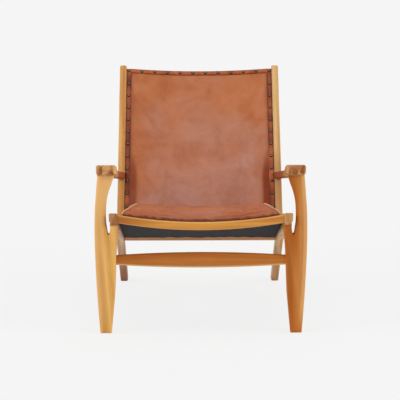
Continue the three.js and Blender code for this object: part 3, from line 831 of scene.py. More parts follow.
def rounded_corners(corners):
    """An outline through corners, each rounded over its own length of the sides beside it."""
    outline = []
    for k, (corner, length) in enumerate(corners):
        if not length:
            outline.append(corner)
            continue
        start = Vector(corner)
        before, after = [tuple(start + (Vector(other) - start).normalized() * length)
                         for other in (corners[k - 1][0], corners[(k + 1) % len(corners)][0])]
        outline += [before, *quadratic(before, corner, after, 6)]
    return outline


def side_rail():
    seat_end = (back_foot_y + upright_depth_foot * math.cos(recline),
                back_foot_z - upright_depth_foot * math.sin(recline))
    bend = (bend_y, rail_underside(bend_y))
    corners = [
        ((rail_front, rail_underside_z), side_corner), (bend, bend_ease),
        ((rear_foot_y, 0), 0), ((rear_foot_y + rear_foot_length, 0), 0),
        (seat_end, 0), ((back_foot_y, back_foot_z), 0),
        ((rail_front, rail_top(rail_front)), side_corner),
    ]
    return plate(rounded_corners(corners), side_thickness, side_round,
                 lambda y, z, over: (side_inner + over, y, z))


def corner_cut():
    low, high = side_outer - corner_cut_width, side_outer + overrun
    length = corner_cut_length
    section = [(low, 0), (side_outer, -overrun), (high, 0), (side_outer, corner_cut_height)]
    return placed(loft([[(x, along, z) for x, z in section] for along in (-overrun, length)]),
                  rail_frame)


def armrest():
    taper_end = paddle_length + paddle_taper
    drop = back_foot_z - arm_top - arm_front * math.tan(arm_slope)
    both_slopes = math.tan(arm_slope) * math.tan(recline)
    back_y = (back_foot_y - drop * math.tan(recline)) / (1 + both_slopes)
    length = (back_y - arm_front) / math.cos(arm_slope) + overrun
    nose = [arm_corner * (1 - math.cos(turn)) for turn in spread(0, math.pi / 2, nose_steps)]
    rings = []
    for along in [*nose, *stations(arm_corner, length)[1:]]:
        width = arm_front_width + (arm_rear_width - arm_front_width) * smooth_share(
            along, paddle_length, taper_end)
        corner, edge = [radius - math.sqrt(radius**2 - max(0, radius - along) ** 2)
                        for radius in (arm_corner, arm_round)]
        section = rounded_section(width - 2 * corner, arm_thickness - 2 * edge, arm_round)
        rings.append([arm_place(side_inner + width / 2 - a, along, arm_thickness / 2 + b)
                      for a, b in section])
    return placed(loft(rings), arm_frame)


def behind_arm():
    size = (arm_front_width * 2, overrun * 4, upright_length * 2)
    centre = (side_inner + arm_rear_width / 2, overrun * 2 - fit_gap, 0)
    return placed(block(size, centre), back_frame)


def upright():
    centre = upright_inner + upright_width / 2
    crown = [(upright_length - upright_round * (1 - math.sin(t)), upright_round * (1 - math.cos(t)))
             for t in spread(0, math.pi / 2, round_steps)]
    straight = [(up, 0) for up in stations(fit_gap, upright_length - upright_round)]
    rings = []
    for up, shrink in straight + crown[1:]:
        depth = upright_depth_foot + (upright_depth_top - upright_depth_foot) * up / upright_length
        section = rounded_section(upright_width - 2 * shrink, depth - 2 * shrink, upright_round)
        rings.append([(centre + a, depth / 2 + b, up) for a, b in section])
    return placed(loft(rings), back_frame)


def ledge():
    width = ledge_width + upright_width / 2
    height = top_rail_bottom - lower_rail_top - 2 * fit_gap
    middle = (top_rail_bottom + lower_rail_top) / 2
    centre = (ledge_inner + width / 2, ledge_recess + ledge_depth / 2, middle)
    return placed(block((width, ledge_depth, height), centre), back_frame)


def cross_rail(half, section_at, place):
    """A rail across the chair, its section at each x put in place by a function."""
    return loft([[place(x, a, b) for a, b in section_at(x)] for x in stations(-half, half)])


def dish(x):
    return max(0, 1 - (x / ledge_inner) ** 2)


def back_rail(bottom, height, bow):
    return placed(cross_rail(
        upright_inner - fit_gap,
        lambda x: rounded_section(back_rail_depth, height, back_rail_round),
        lambda x, a, b: (x, ledge_recess + bow * dish(x) + back_rail_depth / 2 + a,
                         bottom + height / 2 + b)), back_frame)


def seat_front_rail():
    return cross_rail(
        side_inner - fit_gap,
        lambda x: rounded_section(front_rail_depth, front_rail_height, front_rail_round),
        lambda x, a, b: (x, front_rail_y + front_rail_depth / 2 + a,
                         front_rail_top(x) - front_rail_height / 2 + b))


def seat_rear_rail():
    return cross_rail(
        side_inner - fit_gap,
        lambda x: rounded_section(rear_rail_depth, rear_rail_height, rear_rail_round),
        lambda x, a, b: (x, rear_rail_y + rear_rail_depth / 2 + a,
                         rear_rail_bottom + rear_rail_height / 2 + b))


def front_stretcher():
    lean = (foot_offset + prong_lip) * share_at(inner_edge_shares[::-1], stretcher_z / prong_top_z)
    half = foot_inner - lean + 1
    middle = leg_front(stretcher_z) + leg_depth / 2

    def section_at(x):
        height = stretcher_end_height + stretcher_swell * (1 - (x / half) ** 2)
        return rounded_section(stretcher_depth, height, stretcher_round)
    return cross_rail(half, section_at, lambda x, a, b: (x, middle + a, stretcher_z + b))


# Where the shades of the wood begin and end: along Y, up, or in from an edge
# Those at rims and edges hold painted highlights and painted shade.
rail_end = (14, 40)
rail_foot = (95, 200)
blotched_foot = (95, 170)
leg_band = (-17, -12)
leg_base = (0, 90)
left_leg_head = (300, 470)
below_arm = (430, 520)
front_rail_left = (120, 262)
front_rail_edge = (1, 5)
stretcher_edge = (4, 9)
arm_low_rim = (1, 6)
arm_top_rim = (2, 7)
arm_tip = (4, 12)
arm_nose = (12, 50)
arm_blotches = (8, 40)
arm_rear = (50, 180)


def sided(x, left, right):
    return left if x < 0 else right


def rail_deep(x, y, z):
    """The rails darken at their front ends and towards the rear feet, the left one more."""
    return sided(x, 0.8, 0.2) * fade(y, *rail_end) + sided(x, 1, 0.6) * fade(z, *rail_foot)


def rail_pale(x, y, z):
    return sided(x, 0.42, 0.3) * fade(y, *rail_end)


def rail_mottled(x, y, z):
    """The rails are blotched at their front ends, and the left one above its foot."""
    return sided(x, 0.75, 0.4) * fade(y, *rail_end) + sided(x, 0.7, 0) * fade(z, *blotched_foot)


def leg_edge_highlight_and_pale(x, y, z):
    """A painted highlight along the front leg's outer edge, and a paler top on the left leg."""
    edge = smooth_share(abs(x) - leg_outer(z), *leg_band) * smooth_share(z, *leg_base)
    return max(0.6 * edge, sided(x, 0.9, 0) * smooth_share(z, *left_leg_head))


def upright_deep(x, y, z):
    """The right upright is redder below the arm."""
    return sided(x, 0.1, 0.5) * fade(z, *below_arm)


def front_rail_deep(x, y, z):
    return 0.5 * smooth_share(-x, *front_rail_left)


# Painted highlight along the front rail's rounded top and bottom edges.
def front_rail_edge_highlight(x, y, z):
    top = front_rail_top(x)
    return 0.5 * fade(min(top - z, z - top + front_rail_height), *front_rail_edge)


# Painted highlight along the stretcher's lower rounded edge.
def stretcher_lower_edge_highlight(x, y, z):
    low = stretcher_z - (stretcher_end_height + stretcher_swell * (1 - (x / foot_inner) ** 2)) / 2
    return 0.9 * fade(z - low, *stretcher_edge)


def arm_pale_and_rim_highlight(x, y, z):
    """The arm's front is paler, most of all along its lower rim, which is a painted highlight."""
    rim = 0.5 * fade(z - arm_underside(y), *arm_low_rim)
    return (rim + sided(x, 0.6, 0.4)) * fade(y, *arm_nose)


def arm_mottled(x, y, z):
    return 0.95 * fade(y, *arm_blotches)


def arm_rim_shade_and_dark_rear(x, y, z):
    """The arm has painted shade along the top rim of its front, and is darker towards the back."""
    below_top = arm_underside(y) + arm_thickness / math.cos(arm_slope) + 1 - z
    rim = fade(below_top, *arm_top_rim) * fade(y, *arm_tip)
    return 0.6 * rim + sided(x, 1, 0.85) * smooth_share(y, *arm_rear)


def make_member(name, shape, board, seed, cut=(), joined=(), figure=0.5, **shades):
    """A wooden piece from a board of some colour and grain, with what is cut and joined to it."""
    obj = mesh_object(f"{name}_shaped", shape)
    for other in cut:
        carve(obj, other)
    for other in joined:
        carve(obj, other, "UNION")
    shade(obj, **shades)
    finish_piece(obj, wood(f"{name}_teak", *board, seed, figure), name)


def make_side(side, turned, leg, rail, arm, post, seed):
    """The leg, rail, armrest and upright of one side, each cut from its own board."""
    make_member(f"{side}_front_leg", turned(front_leg()), leg, seed, pale=leg_edge_highlight_and_pale,
                cut=[turned(above_arm_underside()), turned(above_rail_underside())])
    make_member(f"{side}_side_rail", turned(side_rail()), (rail, along_rail), seed + 2,
                cut=[turned(corner_cut())], figure=0.6,
                deep=rail_deep, pale=rail_pale, mottled=rail_mottled)
    make_member(f"{side}_armrest", turned(armrest()), (arm, along_arm), seed + 4,
                cut=[turned(behind_arm())], deep=arm_rim_shade_and_dark_rear, pale=arm_pale_and_rim_highlight, mottled=arm_mottled)
    make_member(f"{side}_upright", turned(upright()), (post, along_upright), seed + 6,
                joined=[turned(ledge())], deep=upright_deep)


def make_wood():
    make_side("right", unturned, (russet, along_leg), straw, chestnut, straw, 1)
    make_side("left", mirrored, (golden, along_bent_leg), blush, walnut, honey, 2)
    make_member("seat_front_rail", seat_front_rail(), (amber, across), 9,
                deep=front_rail_deep, pale=front_rail_edge_highlight)
    make_member("seat_rear_rail", seat_rear_rail(), (rose, across), 10)
    make_member("front_stretcher", front_stretcher(), (sienna, across), 11, pale=stretcher_lower_edge_highlight)
    top_rail = back_rail(top_rail_bottom, top_rail_height, top_rail_bow)
    make_member("back_top_rail", top_rail, (honey, across), 12)
    lower_rail = back_rail(lower_rail_up, lower_rail_height, lower_rail_bow)
    make_member("back_lower_rail", lower_rail, (honey, across), 13)

    dowel_wood = wood("beech", beech, (0, 0, 1), 14, figure=0.2)
    for name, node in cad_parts.items():
        if "dowel" in name:
            node.data.materials.clear()
            node.data.materials.append(dowel_wood)


# Back leather, strips and nails

sling_back = ledge_recess - fit_gap
sling_front = sling_back - sling_thickness
strip_back = sling_front - fit_gap
strip_front = strip_back - strip_thickness
strip_outer = upright_inner - fit_gap
strip_inner = strip_outer - strip_width


# Where the shades of the back's leather begin and end: up the back, across, or in from its edge
worn_foot = (210, 320)
warm_top = (340, 640)
warm_right = (20, 150)
warm_edge = (10, 110)
warm_slope = (150, 340)


def sling_bow(up):
    share = limited((up - lower_rail_top) / (top_rail_bottom - lower_rail_top))
    slack = sling_slack * math.sin(math.pi * share)
    return lower_rail_bow + (top_rail_bow - lower_rail_bow) * share + slack


def sway(x, up):
    """Shallow hollows and swells of the hide, none at its edges."""
    edge = smooth_share(ledge_inner - abs(x), 0, strip_width * 3)
    ends = smooth_share(up, lower_rail_top, lower_rail_top + strip_width * 4)
    top = smooth_share(sling_top - up, strip_width, strip_width * 5)
    return sling_sway * edge * ends * top * ripple(x, up, 95, 120, 4.2)


def sling_worn(x, up):
    """Share of dark hide along the side folds, most at the back's foot: wear and painted shade."""
    low = fade(up, *worn_foot)
    reach = strip_width * (0.5 + 1.3 * low)
    side = fade(ledge_inner - abs(x), reach * 0.45, reach)
    patchy = 1 + 0.2 * ripple(x, up, 40, 55, 9.1)
    return limited((0.25 + sided(x, 0.58, 0.8) * low) * side * patchy)


def sling_warm(x, up):
    """Share of redder hide: towards the top and along both sides."""
    top = smooth_share(up, *warm_top) * (0.4 + 0.8 * smooth_share(x, *warm_right))
    side = 0.4 * fade(ledge_inner - abs(x), *warm_edge)
    base = 0.06 + 0.42 * smooth_share(up - 0.6 * x, *warm_slope)
    return limited(base + top + side + 0.5 * ripple(x, up, 90, 110, 3.3))


def back_sling():
    edge = upright_inner - fit_gap
    xs = [-edge, *stations(-ledge_inner, ledge_inner, sling_step), edge]
    ups = stations(lower_rail_up + sling_margin, sling_top, sling_step)
    faces = [[[(x, y + sling_bow(up) * dish(x) + sway(x, up), up) for x in xs] for up in ups]
             for y in (sling_front, sling_back)]
    obj = mesh_object("back_leather", placed(slab(*faces), back_frame))
    for name, share_of in (("worn", sling_worn), ("warm", sling_warm)):
        keep_shares(obj, name, [share_of(x, up) for _ in faces for up in ups for x in xs])
    return obj, (2 * edge * MILLIMETRE, (sling_top - ups[0]) * MILLIMETRE)


def side_nail_ups():
    """Heights of the side nails along the back, the corner one first."""
    corner = sling_top - strip_width / 2
    count = int((corner - nail_corner_gap - lower_rail_top - nail_diameter) / nail_pitch) + 1
    return [corner] + [corner - nail_corner_gap - k * nail_pitch for k in range(count)]


def top_nail_xs():
    half = (strip_inner + strip_outer) / 2
    return list(spread(-half, half, top_nail_count - 1))


def puff(place, nails):
    """How far a strip stands proud between its nails, from 0 at a nail to 1."""
    nearest = min(abs(place - nail) for nail in nails)
    return 1 - math.exp(-(nearest / nail_diameter) ** 2)


def strip_section(outer, inner, swell):
    """A folded strip from its outer edge to its inner one, crowned by its swell."""
    outer, inner = Vector(outer), Vector(inner)
    points = [outer + Vector((0, strip_thickness, 0))]
    for share in spread(0, 1, 2 * round_steps):
        fold = 1 - math.sqrt(max(0, 1 - (2 * share - 1) ** 4))
        ridge = math.exp(-((share - 0.5) / strip_ridge_share) ** 2)
        rise = strip_crown * (2 * swell - strip_dip) * ridge
        points.append(outer.lerp(inner, share) + Vector((0, strip_thickness * fold - rise, 0)))
    points.append(inner + Vector((0, strip_thickness, 0)))
    return [tuple(point) for point in points]


def inner_edge(place, seed, swell):
    """How far a strip's inner edge strays, drawn back where the strip swells."""
    return strip_wander * ripple(place, seed, 30, 1, 0) - swell / 2


def side_strip():
    inner_top = sling_top - strip_width
    ends = [(sling_top, inner_top), (inner_top - fit_gap, inner_top - fit_gap)]
    below = stations(inner_top - 2 * fit_gap, lower_rail_top, strip_step)[1:]
    nails = side_nail_ups()
    rings = []
    for outer_up, inner_up in [*ends, *zip(below, below)]:
        swell = puff(inner_up, nails)
        inner = (strip_inner + inner_edge(outer_up, 2.2, swell), strip_front, inner_up)
        rings.append(strip_section((strip_outer, strip_front, outer_up), inner, swell))
    return placed(loft(rings), back_frame)


def top_strip():
    nails = top_nail_xs()

    def ring(outer_x, inner_x):
        swell = puff(inner_x, nails)
        inner_up = sling_top - strip_width + inner_edge(inner_x, 5.5, swell)
        outer = (outer_x, strip_front + top_rail_bow * dish(outer_x), sling_top)
        inner = (inner_x, strip_front + top_rail_bow * dish(inner_x), inner_up)
        return strip_section(outer, inner, swell)

    middle = [ring(x, x) for x in stations(-strip_inner, strip_inner, strip_step)]
    rings = [ring(-strip_outer, -strip_inner), *middle[1:-1], ring(strip_outer, strip_inner)]
    return placed(loft(rings), back_frame)


def up_the_back(y, z):
    return (y - back_foot_y) * math.sin(recline) + (z - back_foot_z) * math.cos(recline)


def strip_edge(share):
    """1 along both edges of a strip, 0 over the middle of its width."""
    return fade(min(share, 1 - share), 0.06, 0.3)


# Painted shade along both folded edges of the strip, over patches of darker hide.
def side_strip_worn(x, y, z):
    patchy = ripple(x, up_the_back(y, z), 60, 48, 3.4)
    return 0.5 + 0.5 * strip_edge((abs(x) - strip_inner) / strip_width) + 0.7 * patchy


# Painted shade along both folded edges of the strip, over patches of darker hide.
def top_strip_worn(x, y, z):
    patchy = ripple(x, 1.1, 50, 1, 6.2)
    return 0.15 + 0.55 * strip_edge((sling_top - up_the_back(y, z)) / strip_width) + 0.4 * patchy


# A nail's profile from under its rim to its crown, as (share of its radius, share of its rise,
# share of dark patina)
nail_sides = 16
nail_profile = [(0.86, -0.6, 1), (1, 0, 1), (1, 0.22, 1), (0.94, 0.36, 1), (0.84, 0.5, 1),
                (0.68, 0.72, 0.95), (0.46, 0.9, 0.75), (0.2, 0.99, 0.15)]


def nail_heads(places):
    """Domed heads at (x, y, up) places of the back frame."""
    points, faces = [], []
    for x, y, up in places:
        rings = []
        for out, rise, _ in nail_profile:
            radius = nail_diameter / 2 * out
            rings.append([(x + radius * math.cos(turn), y - nail_rise * rise,
                           up + radius * math.sin(turn))
                          for turn in spread(0, 2 * math.pi, nail_sides)[:-1]])
        head_points, head_faces = loft(rings)
        faces += [tuple(k + len(points) for k in face) for face in head_faces]
        points += head_points
    return placed((points, faces), back_frame)


def make_strip(side, shape, worn, nails, hide, metal):
    obj = mesh_object(f"{side}_strip_leather", shape)
    shade(obj, worn=worn)
    finish_piece(obj, hide, f"{side}_back_strip")
    heads = mesh_object(f"{side}_strip_nails", nails)
    wear = [patina for _, _, patina in nail_profile for _ in range(nail_sides)]
    keep_shares(heads, "worn", wear * (len(heads.data.vertices) // len(wear)))
    finish_piece(heads, metal, f"{side}_back_strip")


def make_back():
    # Each hide's second colour is its dark, for wear and painted shade.
    hide = leather("back_hide", (0.455, 0.203, 0.139), (0.22, 0.031, 0.001), (0.31, 0.12, 0.7),
                   strength=0.09, roughness=0.56)
    back, flat = back_sling()
    finish_piece(back, hide, "back_sling")
    strip_hide = leather("strip_hide", (0.46, 0.117, 0.034), (0.125, 0.021, 0.008), (1.3, 0.5, 0.2),
                         strength=0.16, roughness=0.46, cloud=40)
    bronze = aged_metal("aged_bronze", (0.42, 0.31, 0.25), (0.03, 0.016, 0.012), 3, (0.2, 0.9, 0.4))
    side_nail_x = (strip_inner + strip_outer) / 2
    nails = nail_heads([(side_nail_x, strip_front, up) for up in side_nail_ups()])
    for side, turned in (("right", unturned), ("left", mirrored)):
        make_strip(side, turned(side_strip()), side_strip_worn, turned(nails), strip_hide, bronze)
    up = sling_top - strip_width / 2
    nails = nail_heads([(x, strip_front + top_rail_bow * dish(x), up) for x in top_nail_xs()[1:-1]])
    make_strip("top", top_strip(), top_strip_worn, nails, strip_hide, bronze)


# Seat pad, webbing and lining

crown_shares = [(0, 0.17), (0.025, 0.31), (0.068, 0.47), (0.15, 0.7), (0.235, 0.86), (0.43, 0.97),
                (0.66, 1), (0.87, 0.97), (1, 0.9)]
seam_shares = [(0, 0.15), (0.09, 0.22), (0.25, 0.42), (0.45, 0.64), (0.66, 0.76), (1, 0.76)]
round_shares = [(0, 0), (0.45, 0.12), (0.82, 0.5), (1, 1)]


# Where the pad's forms and shades begin and end: along Y, up from its floor, or in from its side
pressed_corner = (40, 150)
swelling_flank = (5, 90)
flank_swell_share = 0.3
creased_up = (2, 12)
creased_right = (-60, 60)
wrinkled_up = (2, 16)
puckered_side = (0, 40)
# Painted shade of the seat's cover: at its tuck, towards its front and low on the pad.
dark_tuck = (2, 8)
dark_front = (30, 90)
dark_base = (6, 30)


def deck_z(x, y):
    share = limited((y - front_rail_rear) / (rear_rail_y - front_rail_rear))
    return front_rail_top(x) + (rear_rail_top - front_rail_top(x)) * share + fit_gap


def pad_floor(x, y):
    """The pad lies on the webbing, and its front edge on the rail before the webbing's ends."""
    strap_end = front_rail_y + strap_inset
    return deck_z(x, y) + strap_thickness * smooth_share(y, strap_end - 2, strap_end) + fit_gap


def pad_rear(x):
    return pad_side_rear + pad_rear_bow * (1 - (x / pad_half_width) ** 2)


def pad_grid(skin):
    """Grid of points over the pad, drawn in by the depth under its skin, with its skirts."""
    half = [(x, 0) for x in stations(0, pad_half_width - pad_round)]
    half += [(pad_half_width - pad_round * (1 - out), share_at(round_shares, out))
             for out in spread(0, 1, pad_round_steps)[1:]]
    half.append((pad_half_width, None))
    columns = [(-x, drop) for x, drop in half[:0:-1]] + half
    rows = [*spread(0, 1, pad_row_count), None]
    grid = []
    for row in rows:
        line = []
        share = 1 if row is None else row
        seam = share_at(seam_shares, share)
        crown = share_at(crown_shares, share)
        for wide, drop in columns:
            skirt, tucked = drop is None, row is None
            waist = pad_waist * seam
            tuck = waist if skirt else (pad_waist + pad_taper if tucked else 0)
            x = wide * (1 - (skin + pad_taper * share + tuck) / pad_half_width)
            reach = pad_rear(wide) - skin - (pad_waist / 2 if tucked else waist if skirt else 0)
            y = pad_front + skin + (reach - pad_front - skin) * share
            height = pad_thickness * (crown + (min(seam, crown) - crown) * (1 if skirt else drop))
            low = min(pad_skirt_gap, height / 4)
            up = low if skirt or tucked else max(height - skin, low)
            line.append((x, y, pad_floor(x, y) + up))
        grid.append(line)
    return grid


def pad_body(skin):
    """The pad as a closed body, its underside resting on the webbing."""
    top = pad_grid(skin)
    return slab(top, [[(x, y, pad_floor(x, y)) for x, y, _ in line] for line in top])


def seam_line():
    """Points along the right side seam: from the front corner up over the shoulder, then back."""
    shoulder = len(stations(0, pad_half_width - pad_round))
    edge = shoulder + pad_round_steps - 1
    rows = pad_grid(0)[:-1]
    points = []
    for k, line in enumerate(rows):
        climbed = smooth_share(k / (len(rows) - 1), -0.02, seam_climb)
        column = edge - (edge - shoulder) * climbed
        below = min(int(column), edge - 1)
        inner, outer = [Vector(line[len(line) // 2 + place]) for place in (below, below + 1)]
        points.append(pressed(*inner.lerp(outer, column - below)))
    return points


def pressed(x, y, z):
    """Moves a point of the pad: its front corners lie flat on the rail and reach a little wider."""
    corner = smooth_share(abs(x), pad_half_width - pad_round, pad_half_width)
    corner *= fade(y, *pressed_corner)
    up = (z - pad_floor(x, y)) * (1 - corner_press * corner)
    x += math.copysign(corner_spread * corner, x)
    return x, y, pad_floor(x, y) + up


def swell_pad(obj):
    """Blows up the pad's cloth while its underside and its side seams hold still."""
    obj.data.remesh_voxel_size = pad_voxel * MILLIMETRE
    bpy.context.view_layer.objects.active = obj
    obj.select_set(True)
    bpy.ops.object.voxel_remesh()
    start = np.array([vertex.co[:] for vertex in obj.data.vertices]) / MILLIMETRE
    start[:, 1] -= frame_shift
    seam = np.array(seam_line())
    distance = np.full(len(start), np.inf)
    for point in seam:
        for side in (1, -1):
            gap = np.linalg.norm(start - point * (side, 1, 1), axis=1)
            distance = np.minimum(distance, gap)
    floor = np.array([pad_floor(x, y) for x, y, _ in start])
    held = (start[:, 2] - floor < pad_skirt_gap) | (distance < pad_voxel)
    group = obj.vertex_groups.new(name="held")
    group.add([int(k) for k in np.nonzero(held)[0]], 1, "REPLACE")
    simulate_swelling(obj)
    move_points(obj.data.vertices, pressed)


def simulate_swelling(obj):
    """Runs the cloth under pressure and keeps its result, with the swell held in by a limit."""
    cloth = obj.modifiers.new("cloth", "CLOTH")
    cloth.settings.vertex_group_mass = "held"
    cloth.settings.use_pressure = True
    cloth.settings.uniform_pressure_force = cloth_pressure
    cloth.settings.effector_weights.gravity = 0
    cloth.settings.quality = cloth_quality
    cloth.settings.tension_stiffness = cloth_stiffness
    cloth.settings.compression_stiffness = cloth_stiffness
    cloth.settings.bending_stiffness = cloth_bending
    cloth.settings.shrink_min = -cloth_growth
    scene = bpy.context.scene
    for index in range(1, cloth_frames + 1):
        scene.frame_set(index)
    depsgraph = bpy.context.evaluated_depsgraph_get()
    swollen = obj.evaluated_get(depsgraph).data
    before = np.array([vertex.co[:] for vertex in obj.data.vertices])
    moved = np.array([vertex.co[:] for vertex in swollen.vertices]) - before
    length = np.maximum(np.linalg.norm(moved, axis=1), MILLIMETRE / 1000)[:, None]
    inside = [smooth_share(pad_half_width - abs(x) / MILLIMETRE, *swelling_flank)
              for x in before[:, 0]]
    share = flank_swell_share + (1 - flank_swell_share) * np.array(inside)
    limit = pad_swell * MILLIMETRE * share[:, None]
    after = before + moved / length * limit * np.tanh(length / limit)
    obj.modifiers.clear()
    scene.frame_set(1)
    obj.data.vertices.foreach_set("co", after.ravel())


def front_creases(x, y, z):
    """Height of the folds that run beside the front rail, where the cover is tucked in."""
    depth = y - pad_front
    wander = crease_wander * ripple(x, 0.3, 60, 1, 2.1)
    strength = 0.35 + 0.3 * smooth_share(x, *creased_right) + ripple(x, depth, 50, 40, 7.7)
    near = math.exp(-depth / crease_reach) * smooth_share(z - pad_floor(x, y), *creased_up)
    valley = math.sqrt(abs(math.sin(math.pi * (depth + wander) / crease_pitch)))
    return crease_depth * near * max(0, strength) * (2 * valley - 1.6)


def pad_wrinkles(x, y, z):
    """Slow hollows and swells all over the pad, and short puckers beside its seams."""
    calm = wrinkle_depth * ripple(x, y, 70, 55, 1.5)
    seam = fade(pad_half_width - abs(x) - pad_taper / 2, *puckered_side)
    pucker = pucker_depth * seam * ripple(x, y, 30, 9, 4.4)
    return (calm + pucker) * smooth_share(z - pad_floor(x, y), *wrinkled_up)


def wrinkled(x, y, z):
    return x, y, z + front_creases(x, y, z) + pad_wrinkles(x, y, z)


def seat_cover():
    """The cover, and the foam that is drawn in from it before its leather is creased."""
    obj = mesh_object("seat_leather", pad_body(pad_start_inset))
    swell_pad(obj)
    foam = add_object("seat_filling", obj.data.copy())
    move_points(foam.data.vertices, drawn_in)
    body = bmesh.new()
    body.from_mesh(obj.data)
    bmesh.ops.subdivide_edges(body, edges=body.edges, cuts=1, use_grid_fill=True, smooth=0.6)
    move_points(body.verts, wrinkled)
    body.to_mesh(obj.data)
    body.free()
    shade(obj, worn=seat_worn, warm=seat_warm)
    return obj, foam


def drawn_in(x, y, z):
    """Moves a point of the cover to the foam's: in from its edges, and a little lower."""
    up = z - pad_floor(x, y)
    share = 1 - foam_setback / pad_half_width
    middle = (pad_front + pad_side_rear) / 2
    x *= share
    y = middle + (y - middle) * share
    return x, y, pad_floor(x, y) + cover_thickness / 2 + up * foam_flattening


def seat_worn(x, y, z):
    """Painted shade where the cover meets the front rail, in its creases and along its side seams.
    """
    up = z - pad_floor(x, y)
    scallop = 2.5 * ripple(x, 0.7, 13, 1, 5.1)
    front = fade(up + scallop, *dark_tuck) * fade(y, *dark_front)
    fold = max(0, -front_creases(x, y, z) / crease_depth)
    return 0.95 * front + 0.2 * fade(up, *dark_base) + 0.85 * fold


def seat_warm(x, y, z):
    return 0.55 + 0.5 * ripple(x, y, 80, 60, 8.8)


def seam_flange():
    """Raw edges of the two hides, standing out along the side seam."""
    seam = [Vector(point) for point in seam_line()]
    rings = []
    for k, point in enumerate(seam):
        ends = smooth_share(min(k, len(seam) - 1 - k), -1, 3)
        width = flange_width + flange_wander * ripple(0, k, 1, 5, 3)
        lift = seam_lift + seam_lift_gain * smooth_share(k / (len(seam) - 1), 0, seam_climb)
        away = Vector((math.cos(lift), 0, math.sin(lift)))
        out = away * width * ends
        side = Vector((-away.z, 0, away.x)) * flange_thickness / 2 * ends
        root = point - away * (pad_start_inset + 1)
        corner = side * flange_taper_share
        ring = (root - side, point + out - corner, point + out * flange_tip_share,
                point + out + corner, root + side)
        rings.append([tuple(place) for place in ring])
    return loft(rings)


def seat_strap(centre):
    ys = [front_rail_y + strap_inset, *stations(front_rail_rear, rear_rail_y),
          rear_rail_y + rear_rail_depth - strap_inset]
    xs = stations(centre - strap_width / 2, centre + strap_width / 2, strap_step)
    return slab(*[[[(x, y, deck_z(x, y) + rise) for x in xs] for y in ys]
                  for rise in (strap_thickness, 0)])


def seat_lining():
    ys = stations(front_rail_rear + fit_gap, rear_rail_y - fit_gap, lining_step_along)
    xs = stations(-lining_half_width, lining_half_width, lining_step_across)

    def height(x, y):
        share = (y - ys[0]) / (ys[-1] - ys[0])
        front = front_rail_top(x) - front_rail_height + lining_rise
        rear = rear_rail_bottom + lining_rear_rise
        pucker = ripple(x, share, 24, 1.25, 1.7)
        return front + (rear - front) * share + lining_ripple * pucker * share**2

    faces = [[[(x, y, height(x, y) + rise) for x in xs] for y in ys]
             for rise in (lining_thickness, 0)]
    slope = math.hypot(ys[-1] - ys[0], height(0, ys[0]) - height(0, ys[-1]))
    obj = mesh_object("seat_dust_cover", slab(*faces))
    return obj, (2 * lining_half_width * MILLIMETRE, slope * MILLIMETRE)


def make_seat():
    # Its second colour paints shade where the cover tucks in and in its creases.
    hide = leather("seat_hide", (0.42, 0.139, 0.066), (0.13, 0.03, 0.012), (0.9, 0.4, 0.1),
                   strength=0.2, roughness=0.42)
    cover, foam = seat_cover()
    finish_piece(cover, hide, "seat_cover", pad_crease_angle)
    raw_edge = leather("raw_edge", (0.62, 0.34, 0.18), (0.5, 0.2, 0.1), (0.4, 0.2, 0.6),
                       strength=0.2, roughness=0.7)
    for side, turned in (("right", unturned), ("left", mirrored)):
        seam = mesh_object(f"{side}_seat_seam", turned(seam_flange()))
        finish_piece(seam, raw_edge, "seat_cover")
    filling = foam_material("foam", (0.78, 0.7, 0.45), (0.6, 0.5, 0.28), 1.6, (0.1, 0.2, 0.3))
    finish_piece(foam, filling, "seat_foam")
    jute = woven("jute", (0.36, 0.28, 0.18), (0.16, 0.11, 0.07), 1.6, (0.3, 0.3, 0.3))
    for index in range(strap_count):
        centre = (index - (strap_count - 1) / 2) * strap_pitch
        strap = mesh_object(f"seat_webbing_{index + 1}", seat_strap(centre))
        finish_piece(strap, jute, f"seat_strap_{index + 1}")
    black = woven("dust_cover", (0.036, 0.032, 0.036), (0.018, 0.015, 0.018), 0.7, (0.7, 0.1, 0.4),
                  roughness=0.9)
    lining, flat = seat_lining()
    finish_piece(lining, black, "seat_lining")


# Floor, light and camera

camera_distance = 4185
camera_height = 1243
camera_pitch = math.radians(10.9)
camera_roll = math.radians(0.05)
camera_orbit = math.radians(0.45)
focal_pixels = 1350
image_pixels = 400
sensor_width = 36
floor_size = 60000
floor_tone = 0.913
floor_shade = 0.13
sky_strength = 0.45
sun_spread = math.radians(35)
suns = {"left_window": (1.6, 65, -75), "right_window": (1.5, 65, 75), "overhead": (0.5, 12, 180)}


def seen_directly(tree):
    """1 on rays that come straight from the camera, a reflection or something clear."""
    path = add_node(tree, "ShaderNodeLightPath")
    mirrored_rays = calculated(tree, "MAXIMUM", path.outputs["Is Glossy Ray"],
                               path.outputs["Is Transmission Ray"])
    return calculated(tree, "MAXIMUM", path.outputs["Is Camera Ray"], mirrored_rays)


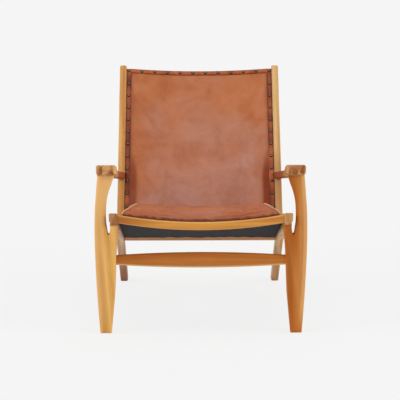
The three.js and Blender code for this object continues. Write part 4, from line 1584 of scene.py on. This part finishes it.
def make_floor():
    """A pale floor that shows the background's colour and keeps a soft part of the shadow."""
    half = floor_size / 2
    corners = [(-half, -half, 0), (half, -half, 0), (half, half, 0), (-half, half, 0)]
    floor = mesh_object("floor", (corners, [(0, 1, 2, 3)]))
    material, tree, shader = new_material("pale_floor", base_color=(*grey(floor_tone), 1),
                                          roughness=1, specular_ior_level=0)
    glow = add_node(tree, "ShaderNodeEmission", {"Color": (*grey(floor_tone), 1), "Strength": 1})
    share = calculated(tree, "MULTIPLY", seen_directly(tree), 1 - floor_shade)
    mix = tree.nodes.new("ShaderNodeMixShader")
    tree.links.new(share, mix.inputs[0])
    tree.links.new(shader.outputs[0], mix.inputs[1])
    tree.links.new(glow.outputs[0], mix.inputs[2])
    tree.links.new(mix.outputs[0], tree.nodes["Material Output"].inputs["Surface"])
    floor.data.materials.append(material)


def make_light():
    world = bpy.data.worlds.new("studio")
    bpy.context.scene.world = world
    world.use_nodes = True
    tree = world.node_tree
    background = tree.nodes["Background"]
    background.inputs["Color"].default_value = (1, 1, 1, 1)
    background.inputs["Strength"].default_value = sky_strength
    backdrop = add_node(tree, "ShaderNodeBackground", {"Color": (*grey(floor_tone), 1),
                                                       "Strength": 1})
    mix = add_node(tree, "ShaderNodeMixShader", {"Fac": seen_directly(tree)})
    tree.links.new(background.outputs[0], mix.inputs[1])
    tree.links.new(backdrop.outputs[0], mix.inputs[2])
    tree.links.new(mix.outputs[0], tree.nodes["World Output"].inputs["Surface"])
    for name, (strength, tilt, turn) in suns.items():
        light = bpy.data.lights.new(name, "SUN")
        light.energy = strength
        light.angle = sun_spread
        add_object(name, light).rotation_euler = (math.radians(tilt), 0, math.radians(turn))


def make_camera():
    data = bpy.data.cameras.new("camera")
    data.sensor_width = sensor_width
    data.lens = sensor_width * focal_pixels / image_pixels
    data.clip_end = floor_size * MILLIMETRE
    camera = add_object("camera", data)
    orbit = Matrix.Rotation(-camera_orbit, 4, "Z")
    place = Vector((0, frame_shift - camera_distance, camera_height)) * MILLIMETRE
    tilt = Matrix.Rotation(math.pi / 2 - camera_pitch, 4, "X")
    camera.location = orbit @ place
    camera.rotation_euler = (orbit @ tilt @ Matrix.Rotation(-camera_roll, 4, "Z")).to_euler()
    bpy.context.scene.camera = camera


bpy.context.scene.view_settings.view_transform = "Standard"
make_camera()
make_floor()
make_light()
make_wood()
make_back()
make_seat()
